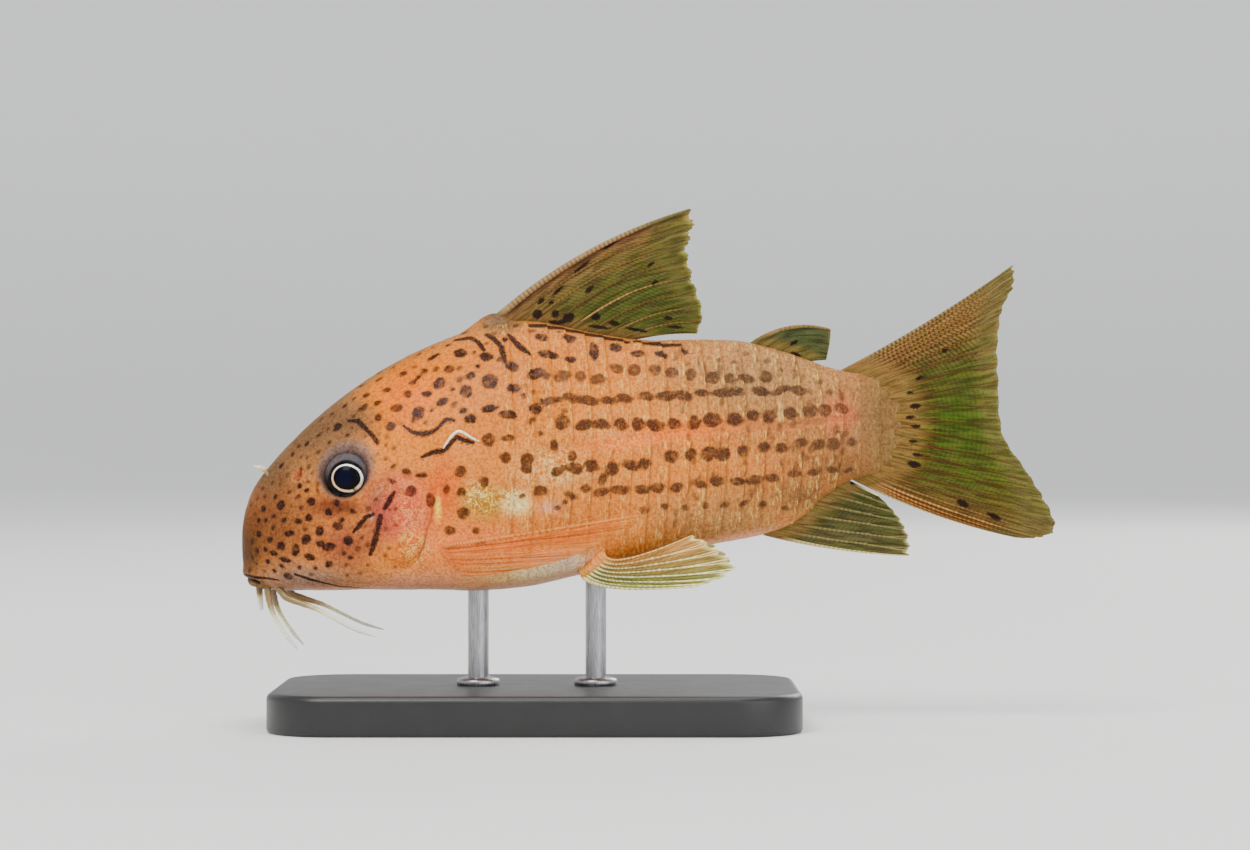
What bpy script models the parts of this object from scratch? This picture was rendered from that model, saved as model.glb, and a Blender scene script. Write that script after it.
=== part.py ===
"""A corydoras catfish, swimming level, as a life-size museum model on a plain display stand.

Sizes are in millimetres in the fish's own frame: s runs back from the snout tip, y to the fish's right, h up
from the belly line. The fish faces -X, and the stand's foot is at Z = 0. The meshes are made in millimetres,
so that the Booleans have room, and are turned into metres at the end.
"""

import math

import bmesh
import bpy
import numpy as np
from mathutils import Matrix, Vector

MM = 0.001

# Overall sizes.
TOTAL_LENGTH = 62.5
FLESH_END = 50.9
END_ROUNDING_START = 46.6
END_LEVEL = 12.6
GAP = 0.3

# The body's outline: (distance behind the snout, value).
BACK_LINE = [
    (0, 3.5), (0.6, 7.1), (2.0, 9.3), (4.1, 11.6), (7.5, 14.6), (13.6, 18.35), (18.0, 20.0),
    (21.5, 20.6), (25.3, 20.0), (31.4, 19.1), (38.6, 18.95), (42.9, 17.75), (45.6, 16.85), (50.9, 16.7),
]
BELLY_LINE = [
    (0, 3.5), (0.3, 1.3), (0.9, 0.35), (2.2, 0.0), (8.0, 0.0), (16.0, 0.0), (21.4, 0.2), (26.0, 1.15),
    (30.5, 2.1), (36.6, 3.55), (40.6, 4.45), (42.6, 5.4), (44.6, 7.2), (46.4, 8.3), (50.9, 8.5),
]
HALF_WIDTH = [
    (0, 0), (0.6, 1.75), (2.0, 3.1), (5.0, 4.55), (8.0, 5.35), (12.0, 6.2), (16.0, 6.6), (20.5, 6.45),
    (26.0, 5.75), (32.0, 4.65), (38.0, 3.45), (44.0, 2.35), (50.9, 1.45),
]
WIDEST_SHARE = [(0, 0.5), (2.0, 0.36), (8.0, 0.35), (16.0, 0.33), (26.0, 0.45), (36.0, 0.5), (50.9, 0.5)]
BACK_PINCH = [(0, 0.0), (4.0, -0.1), (10.0, -0.17), (20.0, -0.24), (35.0, -0.15), (50.9, 0.0)]
BELLY_SQUARENESS = [(0, 0.0), (3.0, 0.3), (12.0, 0.5), (24.0, 0.5), (36.0, 0.15), (50.9, 0.0)]
BELLY_FLATNESS = 0.28

# The head. The gill line is where it ends: at mid side, and how far back it leans at the nape and throat.
GILL_LINE = {"side": 15.1, "nape": 3.0, "throat": -2.7}
HEAD_RINGS = 22
EYE_AT = (8.3, 8.88)
EYE_RADIUS = 1.85
EYE_DEPTH = 1.25
EYE_SET_BACK = 0.6
ORBIT_RIM = (2.12, 0.2)
GILL_COVER_AT = (12.35, 5.3)
GILL_COVER_REACH = (2.2, 3.3)
GILL_COVER_LIFT = 0.3
NOSTRIL_AT = (4.6, 8.75)
NOSTRIL_RADIUS = 0.34
NOSTRIL_RIM = (0.52, 0.17)
NOSE_FLAP_AT = (2.1, 1.15)
NOSE_FLAP_HEIGHT = 1.0
MOUTH_HALF_ANGLE = 78
UPPER_LIP = {"front": 0.27, "corner": 1.95, "half_width": 2.25, "level": 1.3, "droop": 0.35, "radius": 0.4}
LOWER_LIP = {"front": 0.5, "corner": 1.95, "half_width": 2.05, "level": 0.42, "droop": 0.1, "radius": 0.42}
MOUTH_LINE = {"front": 0.3, "corner": 1.95, "half_width": 2.2, "level": 0.88, "droop": 0.2, "radius": 0.75}
MOUTH_OPENING = 0.17
LIP_TAPER = (0.4, 0.85, 1.0, 0.85, 0.65)

# The bony plates of the flank: two rows a side that meet along the flank's middle line.
PLATE_START = 19.7
PLATE_PITCH = 1.46
PLATE_LIFT = 0.24
SHOULDER_LIFT = 0.12
PLATE_SLANT = 0.9
PLATE_STEP = 0.12
TRUNK_PLATES = 13
TAIL_PLATES = 21 - TRUNK_PLATES
FLANK_SEAM = 82

# The columns round one side of the body, in degrees from the back's middle line.
COLUMNS = [
    0, 8, 15, 24, 33, 42, 51, 60, 69, 77, FLANK_SEAM, 87, 95, 104, 113, 122, 131, 140, 148, 156, 168, 180,
]

# The barbels of one side: name, path as (s, y, h), and the radii at root and tip.
BARBELS = [
    ("upper_barbel",
     [(2.2, 1.9, -0.38), (2.5, 2.1, -1.5), (3.1, 2.3, -2.6), (3.8, 2.45, -3.6), (4.5, 2.5, -4.4)],
     (0.36, 0.2)),
    ("lower_barbel",
     [(3.6, 2.5, -0.45), (4.6, 2.8, -0.85), (5.9, 3.2, -1.3), (7.2, 3.6, -1.95), (8.9, 4.1, -2.8),
      (10.6, 4.5, -3.35)],
     (0.34, 0.17)),
    ("chin_barbel",
     [(1.35, 0.65, -0.38), (1.4, 0.68, -0.95), (1.5, 0.72, -1.6)], (0.28, 0.2)),
]

# Fins.
WEB_HALF = 0.26
RAY_HALF = 0.16
RAY_HALF_SHARE = 0.24
FLESHY_SHARE = 0.3
EDGE_THINNING = 0.6
FIN_ROWS = 7

# The stand.
STAND_FOOT = (40.0, 24.0, 3.0)
STAND_AT = 22.6
STAND_CORNER = 5.0
STAND_EDGE = 0.5
ROD_SPACING = 9.0
ROD_RADIUS = 0.8
BELLY_ABOVE_FOOT = 7.3
BELLY_HEIGHT = STAND_FOOT[2] + BELLY_ABOVE_FOOT

COLOURS = {
    "skin": (0.72, 0.38, 0.22, 0.5, 0.0),
    "fin": (0.5, 0.42, 0.26, 0.45, 0.0),
    "barbel": (0.8, 0.7, 0.55, 0.4, 0.0),
    "eye": (0.02, 0.025, 0.05, 0.1, 0.0),
    "stand_foot": (0.03, 0.03, 0.035, 0.4, 0.0),
    "stand_rod": (0.6, 0.6, 0.62, 0.3, 1.0),
}


def smooth(stations):
    """A natural cubic spline through the stations, over the root of the distance, which rounds the snout."""
    at = np.sqrt([s for s, _ in stations])
    value = np.array([v for _, v in stations], float)
    step = np.diff(at)
    system = np.eye(len(at))
    turn = np.zeros(len(at))
    for i in range(1, len(at) - 1):
        system[i, i - 1:i + 2] = step[i - 1], 2 * (step[i - 1] + step[i]), step[i]
        turn[i] = 6 * ((value[i + 1] - value[i]) / step[i] - (value[i] - value[i - 1]) / step[i - 1])
    bend = np.linalg.solve(system, turn)

    def read(s):
        q = math.sqrt(min(max(s, 0.0), stations[-1][0]))
        i = min(max(int(np.searchsorted(at, q, side="right")) - 1, 0), len(at) - 2)
        before, after = at[i + 1] - q, q - at[i]
        cubic = (bend[i] * before**3 + bend[i + 1] * after**3) / (6 * step[i])
        straight = (value[i] / step[i] - bend[i] * step[i] / 6) * before
        return cubic + straight + (value[i + 1] / step[i] - bend[i + 1] * step[i] / 6) * after

    return read


back_line = smooth(BACK_LINE)
belly_line = smooth(BELLY_LINE)
half_width = smooth(HALF_WIDTH)
widest_share = smooth(WIDEST_SHARE)
back_pinch = smooth(BACK_PINCH)
belly_squareness = smooth(BELLY_SQUARENESS)


def ease(x):
    """0 below 0, 1 above 1, and a smooth step between."""
    x = min(max(x, 0.0), 1.0)
    return x * x * (3 - 2 * x)


def end_rounding(s):
    """The share of its height that the flesh keeps as it rounds off inside the tail fin."""
    t = min(max((s - END_ROUNDING_START) / (FLESH_END - END_ROUNDING_START), 0.0), 1.0)
    return (1 - t**2.6) ** (1 / 2.2)


def top_at(s):
    return END_LEVEL + (back_line(s) - END_LEVEL) * end_rounding(s)


def bottom_at(s):
    return END_LEVEL + (belly_line(s) - END_LEVEL) * end_rounding(s)


def plain_skin(s, angle):
    """(y, h) of the body with no relief, angle radians round the right side from the back to the belly."""
    top, bottom = top_at(s), bottom_at(s)
    width = half_width(s) * end_rounding(s) ** 0.5
    level = bottom + (top - bottom) * widest_share(s)
    rise, side = math.cos(angle), math.sin(angle)
    if rise >= 0:
        return width * side * (1 + back_pinch(s) * rise**2), level + (top - level) * rise
    y = width * side * (1 + belly_squareness(s) * rise**2)
    return y, level + (level - bottom) * rise * (1 + BELLY_FLATNESS * side**2)


def skin(s, angle, lift=0.0):
    """A point of the body as (s, y, h), raised along the surface's normal by lift."""
    y, h = plain_skin(s, angle)
    if lift == 0:
        return np.array([s, y, h])
    nudge = 0.01
    ahead, behind = plain_skin(s + nudge, angle), plain_skin(max(s - nudge, 0.0), angle)
    above, below = plain_skin(s, angle - nudge), plain_skin(s, angle + nudge)
    along = np.array([s + nudge - max(s - nudge, 0.0), ahead[0] - behind[0], ahead[1] - behind[1]])
    around = np.array([0.0, below[0] - above[0], below[1] - above[1]])
    normal = np.cross(along, around)
    outward = normal / max(np.linalg.norm(normal), 1e-9)
    return np.array([s, y, h]) + lift * outward


def angle_at(s, h):
    """The angle at which the body's side is at level h."""
    low, high = 0.0, math.pi
    for _ in range(40):
        middle = (low + high) / 2
        if plain_skin(s, middle)[1] > h:
            low = middle
        else:
            high = middle
    return low


def gill_line(angle):
    """Where the head ends: behind the gill cover, from there back to the nape and forward to the throat."""
    up, down = (1 + math.cos(angle)) / 2, (1 - math.cos(angle)) / 2
    return GILL_LINE["side"] + GILL_LINE["nape"] * up**2.4 + GILL_LINE["throat"] * down**3


def middle_at(s):
    """The middle of the body, where a cut face's triangles meet."""
    return s, 0.0, (top_at(s) + bottom_at(s)) / 2


def plate_line(number, angle):
    """A plate's front edge: a shallow chevron that points to the tail, and flattens at the tail's end."""
    s = PLATE_START + number * PLATE_PITCH
    flat = 1 - ease((s - 44.0) / 5.0)
    from_seam = abs(math.degrees(angle) - FLANK_SEAM) / FLANK_SEAM
    return s - PLATE_SLANT * flat * from_seam


def plate_cover(s, angle):
    """1 on a plate, 0 on the flank's seam, along the back and on the bare belly."""
    degrees = math.degrees(angle)
    belly_edge = 152 + 24 * ease((s - 39.0) / 4.0)
    seam = ease((abs(degrees - FLANK_SEAM) - 1.0) / 3.0)
    return seam * ease((degrees - 6) / 8) * ease((belly_edge - degrees) / 8)


def world(point):
    s, y, h = point
    return Vector((s - TOTAL_LENGTH / 2, y, h + BELLY_HEIGHT))


def add_object(name, mesh, finish, sharp=40):
    obj = bpy.data.objects.new(name, mesh)
    bpy.context.scene.collection.objects.link(obj)
    mesh.materials.append(finish)
    mesh.shade_smooth()
    mesh.set_sharp_from_angle(angle=math.radians(sharp))
    return obj


def closed_mesh(name, points, faces):
    """A mesh from points in the fish's frame, with its faces turned outwards."""
    bm = bmesh.new()
    corners = [bm.verts.new(world(p)) for p in points]
    for face in faces:
        bm.faces.new([corners[i] for i in face])
    bmesh.ops.triangulate(bm, faces=[f for f in bm.faces if len(f.verts) > 3])
    bm.normal_update()
    bmesh.ops.recalc_face_normals(bm, faces=bm.faces)
    mesh = bpy.data.meshes.new(name)
    bm.to_mesh(mesh)
    bm.free()
    return mesh


def body_rings(rings, front, back):
    """Points and faces of a closed stretch of the body.

    Each ring is a function of the angle that gives (s, lift). front and back are the ends' middle points.
    """
    angles = [math.radians(c) for c in COLUMNS]
    around = [(a, 1) for a in angles] + [(a, -1) for a in reversed(angles[1:-1])]
    points, faces = [front], []
    for ring in rings:
        for angle, side in around:
            s, lift = ring(angle)
            point = skin(s, angle, lift)
            point[1] *= side
            points.append(point)
    points.append(back)
    count, last = len(around), len(points) - 1
    for i in range(count):
        j = (i + 1) % count
        faces.append((0, 1 + i, 1 + j))
        for ring in range(len(rings) - 1):
            base = 1 + ring * count
            faces.append((base + i, base + j, base + count + j, base + count + i))
        base = 1 + (len(rings) - 1) * count
        faces.append((last, base + j, base + i))
    return points, faces


def plate_rings(first, count):
    """The rings of a run of plates: each starts low and rises to its free hind edge."""
    rings = []
    for number in range(first, first + count):
        def front(angle, number=number):
            s = plate_line(number, angle) + PLATE_STEP / 2
            return s, 0.0

        def hind(angle, number=number):
            s = plate_line(number + 1, angle) - PLATE_STEP / 2
            return s, PLATE_LIFT * plate_cover(s, angle)

        rings += [front, hind]
    return rings


def mirrored(point, side):
    return np.array([point[0], side * point[1], point[2]])


def surface_frame(s, h, side):
    """The skin's point at (s, h) on one side, and the direction out of the skin there."""
    angle = angle_at(s, h)
    point = skin(s, angle)
    return mirrored(point, side), mirrored(skin(s, angle, 1.0) - point, side)


def ellipsoid(name, centre, outward, radii, finish, segments=20, rings=12):
    """An ellipsoid whose radii are across, out of and along the skin."""
    turn = Vector((0.0, 1.0, 0.0)).rotation_difference(Vector(outward)).to_matrix()
    bm = bmesh.new()
    bmesh.ops.create_uvsphere(bm, u_segments=segments, v_segments=rings, radius=1.0)
    for vert in bm.verts:
        x, y, z = vert.co
        vert.co = world(np.array(centre) + turn @ Vector((x * radii[0], z * radii[1], -y * radii[2])))
    mesh = bpy.data.meshes.new(name)
    bm.to_mesh(mesh)
    bm.free()
    return add_object(name, mesh, finish)


def rim(name, at, size, side, finish, around=18, sides=5):
    """A raised ring that lies on the skin round a point. size is the ring's radius and its thickness."""
    points, faces = [], []
    for i in range(around):
        turn = 2 * math.pi * i / around
        spoke = np.array([math.cos(turn), math.sin(turn)])
        centre, outward = surface_frame(*(np.array(at) + size[0] * spoke), side)
        inner, _ = surface_frame(*(np.array(at) + (size[0] - 0.1) * spoke), side)
        across = (centre - inner) / np.linalg.norm(centre - inner)
        for k in range(sides):
            roll = 2 * math.pi * k / sides
            points.append(centre + size[1] * (math.cos(roll) * across + 0.8 * math.sin(roll) * outward))
    for i in range(around):
        for k in range(sides):
            following, j = (i + 1) % around, (k + 1) % sides
            faces.append((i * sides + k, i * sides + j, following * sides + j, following * sides + k))
    return add_object(name, closed_mesh(name, points, faces), finish)


def bone_plate(name, at, reach, lift, side, finish, around=18):
    """A low plate of bone on the skin, round in outline, that rises to a free edge at its back."""
    def spoke(share, turn, height):
        s, h = at[0] + reach[0] * share * math.cos(turn), at[1] + reach[1] * share * math.sin(turn)
        point, outward = surface_frame(s, h, side)
        return point + outward * height

    turns = [2 * math.pi * i / around for i in range(around)]
    points, faces = [], []
    for share, rise in ((0.5, 0.75), (0.85, 1.0), (1.0, 0.45)):
        points += [spoke(share, turn, lift * rise * (0.6 + 0.4 * math.cos(turn) * share)) for turn in turns]
    for share, depth in ((1.02, 0.35), (0.5, 0.6)):
        points += [spoke(share, turn, -depth) for turn in turns]
    points += [spoke(0, 0, lift * 0.5), spoke(0, 0, -0.6)]
    top, bottom = len(points) - 2, len(points) - 1
    for i in range(around):
        j = (i + 1) % around
        faces.append((top, i, j))
        last = top - around
        for base in range(0, last, around):
            faces.append((base + i, base + around + i, base + around + j, base + j))
        faces.append((bottom, last + j, last + i))
    return add_object(name, closed_mesh(name, points, faces), finish)


def tube(name, path, radii, finish, sides=8, flatten=1.0):
    """A round bar along a path, with radii at even steps along it and rounded ends.

    A bar that runs level can be flattened.
    """
    path = [np.array(p, float) for p in path]
    steps = max(2 * len(path) - 4, 4)
    shares = np.linspace(0, 1, steps + 1)
    run = np.cumsum([0] + [np.linalg.norm(b - a) for a, b in zip(path, path[1:])])
    centres = np.stack([np.interp(shares * run[-1], run, [p[k] for p in path]) for k in range(3)], axis=1)
    widths = np.interp(shares, np.linspace(0, 1, len(radii)), radii)
    widths[-1] *= 0.6
    points, faces = [], []
    across = np.array((0.0, 0.0, 1.0))
    for i, centre in enumerate(centres):
        along = centres[min(i + 1, steps)] - centres[max(i - 1, 0)]
        along /= np.linalg.norm(along)
        across = across - along * np.dot(along, across)
        across /= np.linalg.norm(across)
        other = np.cross(along, across)
        for k in range(sides):
            turn = 2 * math.pi * (k + 0.5) / sides
            points.append(centre + widths[i] * (flatten * math.cos(turn) * across + math.sin(turn) * other))
    for i in range(steps):
        for k in range(sides):
            j = (k + 1) % sides
            faces.append((i * sides + k, i * sides + j, (i + 1) * sides + j, (i + 1) * sides + k))
    faces.append(tuple(range(sides)))
    faces.append(tuple(steps * sides + k for k in reversed(range(sides))))
    return add_object(name, closed_mesh(name, points, faces), finish)


def combine(obj, pieces, operation):
    """Applies one Boolean of the pieces to the object, and removes them."""
    group = bpy.data.collections.new("pieces")
    bpy.context.scene.collection.children.link(group)
    for piece in pieces:
        bpy.context.scene.collection.objects.unlink(piece)
        group.objects.link(piece)
    modifier = obj.modifiers.new("combine", "BOOLEAN")
    modifier.operation = operation
    modifier.operand_type = "COLLECTION"
    modifier.collection = group
    modifier.solver = "EXACT"
    bpy.context.view_layer.update()
    graph = bpy.context.evaluated_depsgraph_get()
    joined = bpy.data.meshes.new_from_object(obj.evaluated_get(graph))
    obj.modifiers.remove(modifier)
    obj.data = joined
    for piece in pieces:
        bpy.data.objects.remove(piece)
    bpy.data.collections.remove(group)


def keep_largest(mesh):
    """Drops the loose scraps and sealed hollows that a Boolean leaves, and keeps the largest surface."""
    bm = bmesh.new()
    bm.from_mesh(mesh)
    bmesh.ops.triangulate(bm, faces=bm.faces)
    left, shells = set(bm.verts), []
    while left:
        shell, edge = set(), [left.pop()]
        while edge:
            vert = edge.pop()
            shell.add(vert)
            for link in vert.link_edges:
                other = link.other_vert(vert)
                if other in left:
                    left.remove(other)
                    edge.append(other)
        shells.append(shell)
    shells.sort(key=len)
    scraps = [vert for shell in shells[:-1] for vert in shell]
    bmesh.ops.delete(bm, geom=scraps, context="VERTS")
    bm.to_mesh(mesh)
    bm.free()


def both_sides(make):
    """Runs a maker for the fish's left (-y) and right (+y)."""
    return [make("left", -1), make("right", 1)]


def eye_shape(side, margin=0.0):
    """The centre, direction and radii of the eyeball, or with a margin of its socket."""
    point, outward = surface_frame(*EYE_AT, side)
    radius = EYE_RADIUS + margin
    return point - outward * EYE_SET_BACK, outward, (radius, EYE_DEPTH + margin, radius)


def mouth_arc(name, size, radii, finish, sides=6, flatten=1.0):
    """A bar that follows the mouth's arc round the front of the snout."""
    path = []
    for i in range(9):
        turn = math.radians(MOUTH_HALF_ANGLE * (i / 4 - 1))
        back = 1 - math.cos(turn)
        path.append((
            size["front"] + (size["corner"] - size["front"]) * back,
            size["half_width"] * math.sin(turn),
            size["level"] - size["droop"] * back))
    return tube(name, path, [size["radius"] * share for share in radii], finish, sides, flatten)


def make_head(finish):
    """The head, with its gill covers, lips and nose flaps, cut for the eyes, nostrils and mouth."""
    def ring_at(share):
        return lambda angle: (gill_line(angle) * share**1.5, 0.0)

    rings = [ring_at((i + 1) / HEAD_RINGS) for i in range(HEAD_RINGS)]
    points, faces = body_rings(rings, (0.0, 0.0, back_line(0)), middle_at(GILL_LINE["side"]))
    head = add_object("head", closed_mesh("head", points, faces), finish)

    def flap(_, side):
        s, y = NOSE_FLAP_AT
        root = skin(s, math.radians(24))
        base = np.array([root[0] + 0.35, side * y, root[2] - 0.5])
        tip = base + np.array([-0.95, side * 0.25, NOSE_FLAP_HEIGHT])
        return tube("nose_flap", [base, (base + tip) / 2, tip], (0.42, 0.26), finish, sides=6)

    raised = [
        mouth_arc("upper_lip", UPPER_LIP, LIP_TAPER, finish),
        mouth_arc("lower_lip", LOWER_LIP, LIP_TAPER, finish),
    ]
    raised += both_sides(flap)
    raised += both_sides(lambda _, side: rim("orbit", EYE_AT, ORBIT_RIM, side, finish))
    raised += both_sides(lambda _, side: rim("nostril_rim", NOSTRIL_AT, NOSTRIL_RIM, side, finish, 10, 4))
    raised += both_sides(lambda _, side: bone_plate(
        "gill_cover", GILL_COVER_AT, GILL_COVER_REACH, GILL_COVER_LIFT, side, finish))
    combine(head, raised, "UNION")

    def socket(_, side):
        return ellipsoid("socket", *eye_shape(side, GAP), finish, 18, 10)

    def nostril(_, side):
        point, outward = surface_frame(*NOSTRIL_AT, side)
        radii = (NOSTRIL_RADIUS, 0.6, NOSTRIL_RADIUS * 1.3)
        return ellipsoid("nostril", point, outward, radii, finish, 10, 6)

    gape = mouth_arc("mouth", MOUTH_LINE, (1.0, 1.0), finish, 8, MOUTH_OPENING / MOUTH_LINE["radius"])
    combine(head, both_sides(socket) + both_sides(nostril) + [gape], "DIFFERENCE")
    keep_largest(head.data)
    head.data.materials.clear()
    head.data.materials.append(finish)


def make_trunk(finish):
    """The trunk from the gill opening to the front of the tail, with the shoulder's bone and the plates."""
    def shoulder(share):
        def ring(angle):
            start, end = gill_line(angle) + GAP, plate_line(0, angle) - PLATE_STEP / 2
            s = start + (end - start) * share
            return s, SHOULDER_LIFT * plate_cover(s, angle) * share
        return ring

    rings = [shoulder(share) for share in (0.0, 0.3, 0.6, 1.0)] + plate_rings(0, TRUNK_PLATES)
    front, back = middle_at(GILL_LINE["side"] + GAP), middle_at(plate_line(TRUNK_PLATES, 0))
    points, faces = body_rings(rings, front, back)
    add_object("trunk", closed_mesh("trunk", points, faces), finish)


def make_tail(finish):
    """The tail's stem, which rounds off to an upright edge inside the tail fin."""
    def start(angle):
        return plate_line(TRUNK_PLATES, angle) - PLATE_STEP / 2 + GAP, 0.0

    def round_off(share):
        def ring(angle):
            begin = plate_line(TRUNK_PLATES + TAIL_PLATES, angle) - PLATE_STEP / 2 + 0.1
            return begin + (FLESH_END - begin) * share, 0.0
        return ring

    rings = [start] + plate_rings(TRUNK_PLATES, TAIL_PLATES)[1:]
    rings += [round_off(share) for share in (0.0, 0.6, 0.9)]
    front = middle_at(plate_line(TRUNK_PLATES, 0) + GAP)
    points, faces = body_rings(rings, front, middle_at(FLESH_END))
    add_object("tail", closed_mesh("tail", points, faces), finish)


def fin(name, rays, root, tip, lean, finish, root_half=0.42, spine_half=0.12, scallop=0.015):
    """A fin as one closed body: a thin web with a ridge on both faces along each ray.

    root, tip and lean are functions of the share of the way along the fin, from its spine to its last ray: a
    ray's two ends, and the point that it leans towards between them.
    """
    columns = [(0.0, 1.0), (RAY_HALF_SHARE, 0.0)]
    for ray in range(1, rays - 1):
        columns += [(ray - RAY_HALF_SHARE, 0.0), (float(ray), 1.0), (ray + RAY_HALF_SHARE, 0.0)]
    columns += [(rays - 1 - RAY_HALF_SHARE, 0.0), (rays - 1.0, 1.0)]
    rows = FIN_ROWS + 1
    grid = np.zeros((len(columns), rows, 3))
    half = np.zeros((len(columns), rows))
    for i, (number, crest) in enumerate(columns):
        start, end, pull = (np.array(f(number / (rays - 1)), float) for f in (root, tip, lean))
        for j in range(rows):
            t = j / FIN_ROWS * (1 - scallop * (1 - crest))
            grid[i, j] = (1 - t) ** 2 * start + 2 * t * (1 - t) * pull + t * t * end
            fleshy = (root_half - WEB_HALF) * (1 - ease(t / FLESHY_SHARE))
            ridge = crest * RAY_HALF * (1 - 0.6 * t)
            spine = spine_half * (1 - ease(number)) * (1 - 0.7 * t)
            half[i, j] = (WEB_HALF + fleshy + ridge + spine) * (EDGE_THINNING if j == FIN_ROWS else 1.0)
    normal = np.cross(np.gradient(grid, axis=0), np.gradient(grid, axis=1))
    normal /= np.linalg.norm(normal, axis=2, keepdims=True)
    offset = normal * half[..., None]
    points = np.concatenate([(grid + offset).reshape(-1, 3), (grid - offset).reshape(-1, 3)])
    count, faces = len(columns) * rows, []
    for i in range(len(columns) - 1):
        for j in range(FIN_ROWS):
            a, b, c, d = i * rows + j, (i + 1) * rows + j, (i + 1) * rows + j + 1, i * rows + j + 1
            faces += [(a, b, c), (a, c, d)]
            faces += [(count + a, count + c, count + b), (count + a, count + d, count + c)]
    edge = [i * rows for i in range(len(columns))]
    edge += [(len(columns) - 1) * rows + j for j in range(1, rows)]
    edge += [i * rows + FIN_ROWS for i in reversed(range(len(columns) - 1))]
    edge += [j for j in reversed(range(1, FIN_ROWS))]
    for a, b in zip(edge, edge[1:] + edge[:1]):
        faces += [(a, b, count + b), (a, count + b, count + a)]
    return add_object(name, closed_mesh(name, points, faces), finish, 60)


def along_margin(points):
    """A smooth curve through the points, as a function of the share of the way along it."""
    points = np.array(points, float)
    reach = np.cumsum([0] + [np.linalg.norm(b - a) for a, b in zip(points, points[1:])])

    def read(share):
        x = min(max(share, 0.0), 1.0) * reach[-1]
        i = min(max(int(np.searchsorted(reach, x, side="right")) - 1, 0), len(points) - 2)
        t = (x - reach[i]) / (reach[i + 1] - reach[i])
        before, after = points[max(i - 1, 0)], points[min(i + 2, len(points) - 1)]
        slope_in, slope_out = (points[i + 1] - before) / 2, (after - points[i]) / 2
        place = (2 * t**3 - 3 * t**2 + 1) * points[i] + (3 * t**2 - 2 * t**3) * points[i + 1]
        return place + (t**3 - 2 * t**2 + t) * slope_in + (t**3 - t**2) * slope_out

    return read


def middle_fin(name, rays, root, margin, bow, finish, **shape):
    """A fin in the body's middle plane.

    root gives a ray's (s, h) on the body, margin is the fin's free edge as (s, h), and bow is how far a ray
    bends off its straight line.
    """
    tip = along_margin([(s, 0.0, h) for s, h in margin])

    def foot(share):
        s, h = root(share)
        return np.array([s, 0.0, h])

    def lean(share):
        start, end = foot(share), tip(share)
        run = end - start
        aside = np.array([-run[2], 0.0, run[0]]) / np.linalg.norm(run)
        return (start + end) / 2 + 2 * bow(share) * aside

    return fin(name, rays, foot, tip, lean, finish, **shape)


def make_dorsal_fin(finish):
    """The dorsal fin, raised, with a strong spine in front."""
    def root(share):
        s = 19.3 + 11.9 * share**0.92
        return s, top_at(s) + GAP

    margin = [(34.6, 29.25), (34.75, 28.0), (34.3, 26.0), (34.7, 23.6), (35.3, 21.7), (35.3, 20.7), (34.9, 19.8)]
    return middle_fin(
        "dorsal_fin", 9, root, margin, lambda share: 1.0 - 0.9 * share, finish,
        root_half=0.45, spine_half=0.22)


def make_adipose_fin(finish):
    """The small fin behind the dorsal: a short spine that carries a fleshy web."""
    def root(share):
        s = 39.5 + 4.7 * share
        return s, top_at(s) + GAP

    margin = [(45.1, 19.9), (45.0, 18.8), (44.75, 17.6)]
    return middle_fin(
        "adipose_fin", 4, root, margin, lambda share: 0.62 * (1 - share), finish,
        root_half=0.4, spine_half=0.15, scallop=0.0)


def make_anal_fin(finish):
    """The anal fin, under the front of the tail."""
    def root(share):
        s = 41.0 + 5.4 * share
        return s, bottom_at(s) - GAP - 0.25

    margin = [(51.2, 2.6), (51.2, 3.8), (50.75, 5.0), (49.8, 6.05), (48.5, 6.75)]
    return middle_fin("anal_fin", 8, root, margin, lambda share: -0.25 * (1 - share), finish)


def tail_edge(share):
    """(s, h) along the tail fin's root, which wraps the flesh's rounded end a gap away from it."""
    start, last = END_ROUNDING_START + 0.2, FLESH_END - 0.002
    outline = [(s, top_at(s)) for s in np.linspace(start, last, 40)]
    outline += [(s, bottom_at(s)) for s in np.linspace(last, start + 0.6, 40)]
    outline = np.array(outline)
    reach = np.concatenate([[0], np.cumsum(np.linalg.norm(np.diff(outline, axis=0), axis=1))])
    point = np.array([np.interp(share * reach[-1], reach, outline[:, k]) for k in range(2)])
    nearest = np.argmin(np.linalg.norm(outline - point, axis=1))
    run = outline[min(nearest + 2, len(outline) - 1)] - outline[max(nearest - 2, 0)]
    return point + np.array([-run[1], run[0]]) / np.linalg.norm(run) * (GAP + 0.22)


def make_tail_fin(finish):
    """The forked tail fin, whose lower lobe is the longer."""
    margin = [
        (59.15, 24.9), (59.2, 23.4), (58.3, 21.4), (57.95, 18.6), (58.0, 15.6), (58.1, 13.2), (58.6, 11.3),
        (60.1, 9.2), (61.4, 7.2), (62.45, 5.0), (62.0, 4.2), (60.8, 3.9), (59.5, 3.95),
    ]

    def bow(share):
        return -0.25 * (1 - ease(share * 4)) - 0.45 * ease(share * 4 - 3)

    return middle_fin("tail_fin", 16, tail_edge, margin, bow, finish, root_half=0.5)


def paired_fin(name, side, rays, foot, margin, off, finish, **shape):
    """A fin of a left and right pair, that stands off the body before it bends back.

    foot gives each ray's (s, angle) on the skin, margin is the fin's free edge as (s, y, h), and off is how
    far the rays stand off the skin.
    """
    edge = along_margin(margin)

    def root(share):
        return mirrored(skin(*foot(share), GAP + PLATE_LIFT + 0.1), side)

    def tip(share):
        return mirrored(edge(share), side)

    def lean(share):
        s, angle = foot(share)
        outward = mirrored(skin(s, angle, 1.0) - skin(s, angle), side)
        start = root(share)
        return start + outward * off(share) + (tip(share) - start) * 0.05

    return fin(name, rays, root, tip, lean, finish, root_half=0.3, **shape)


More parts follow.
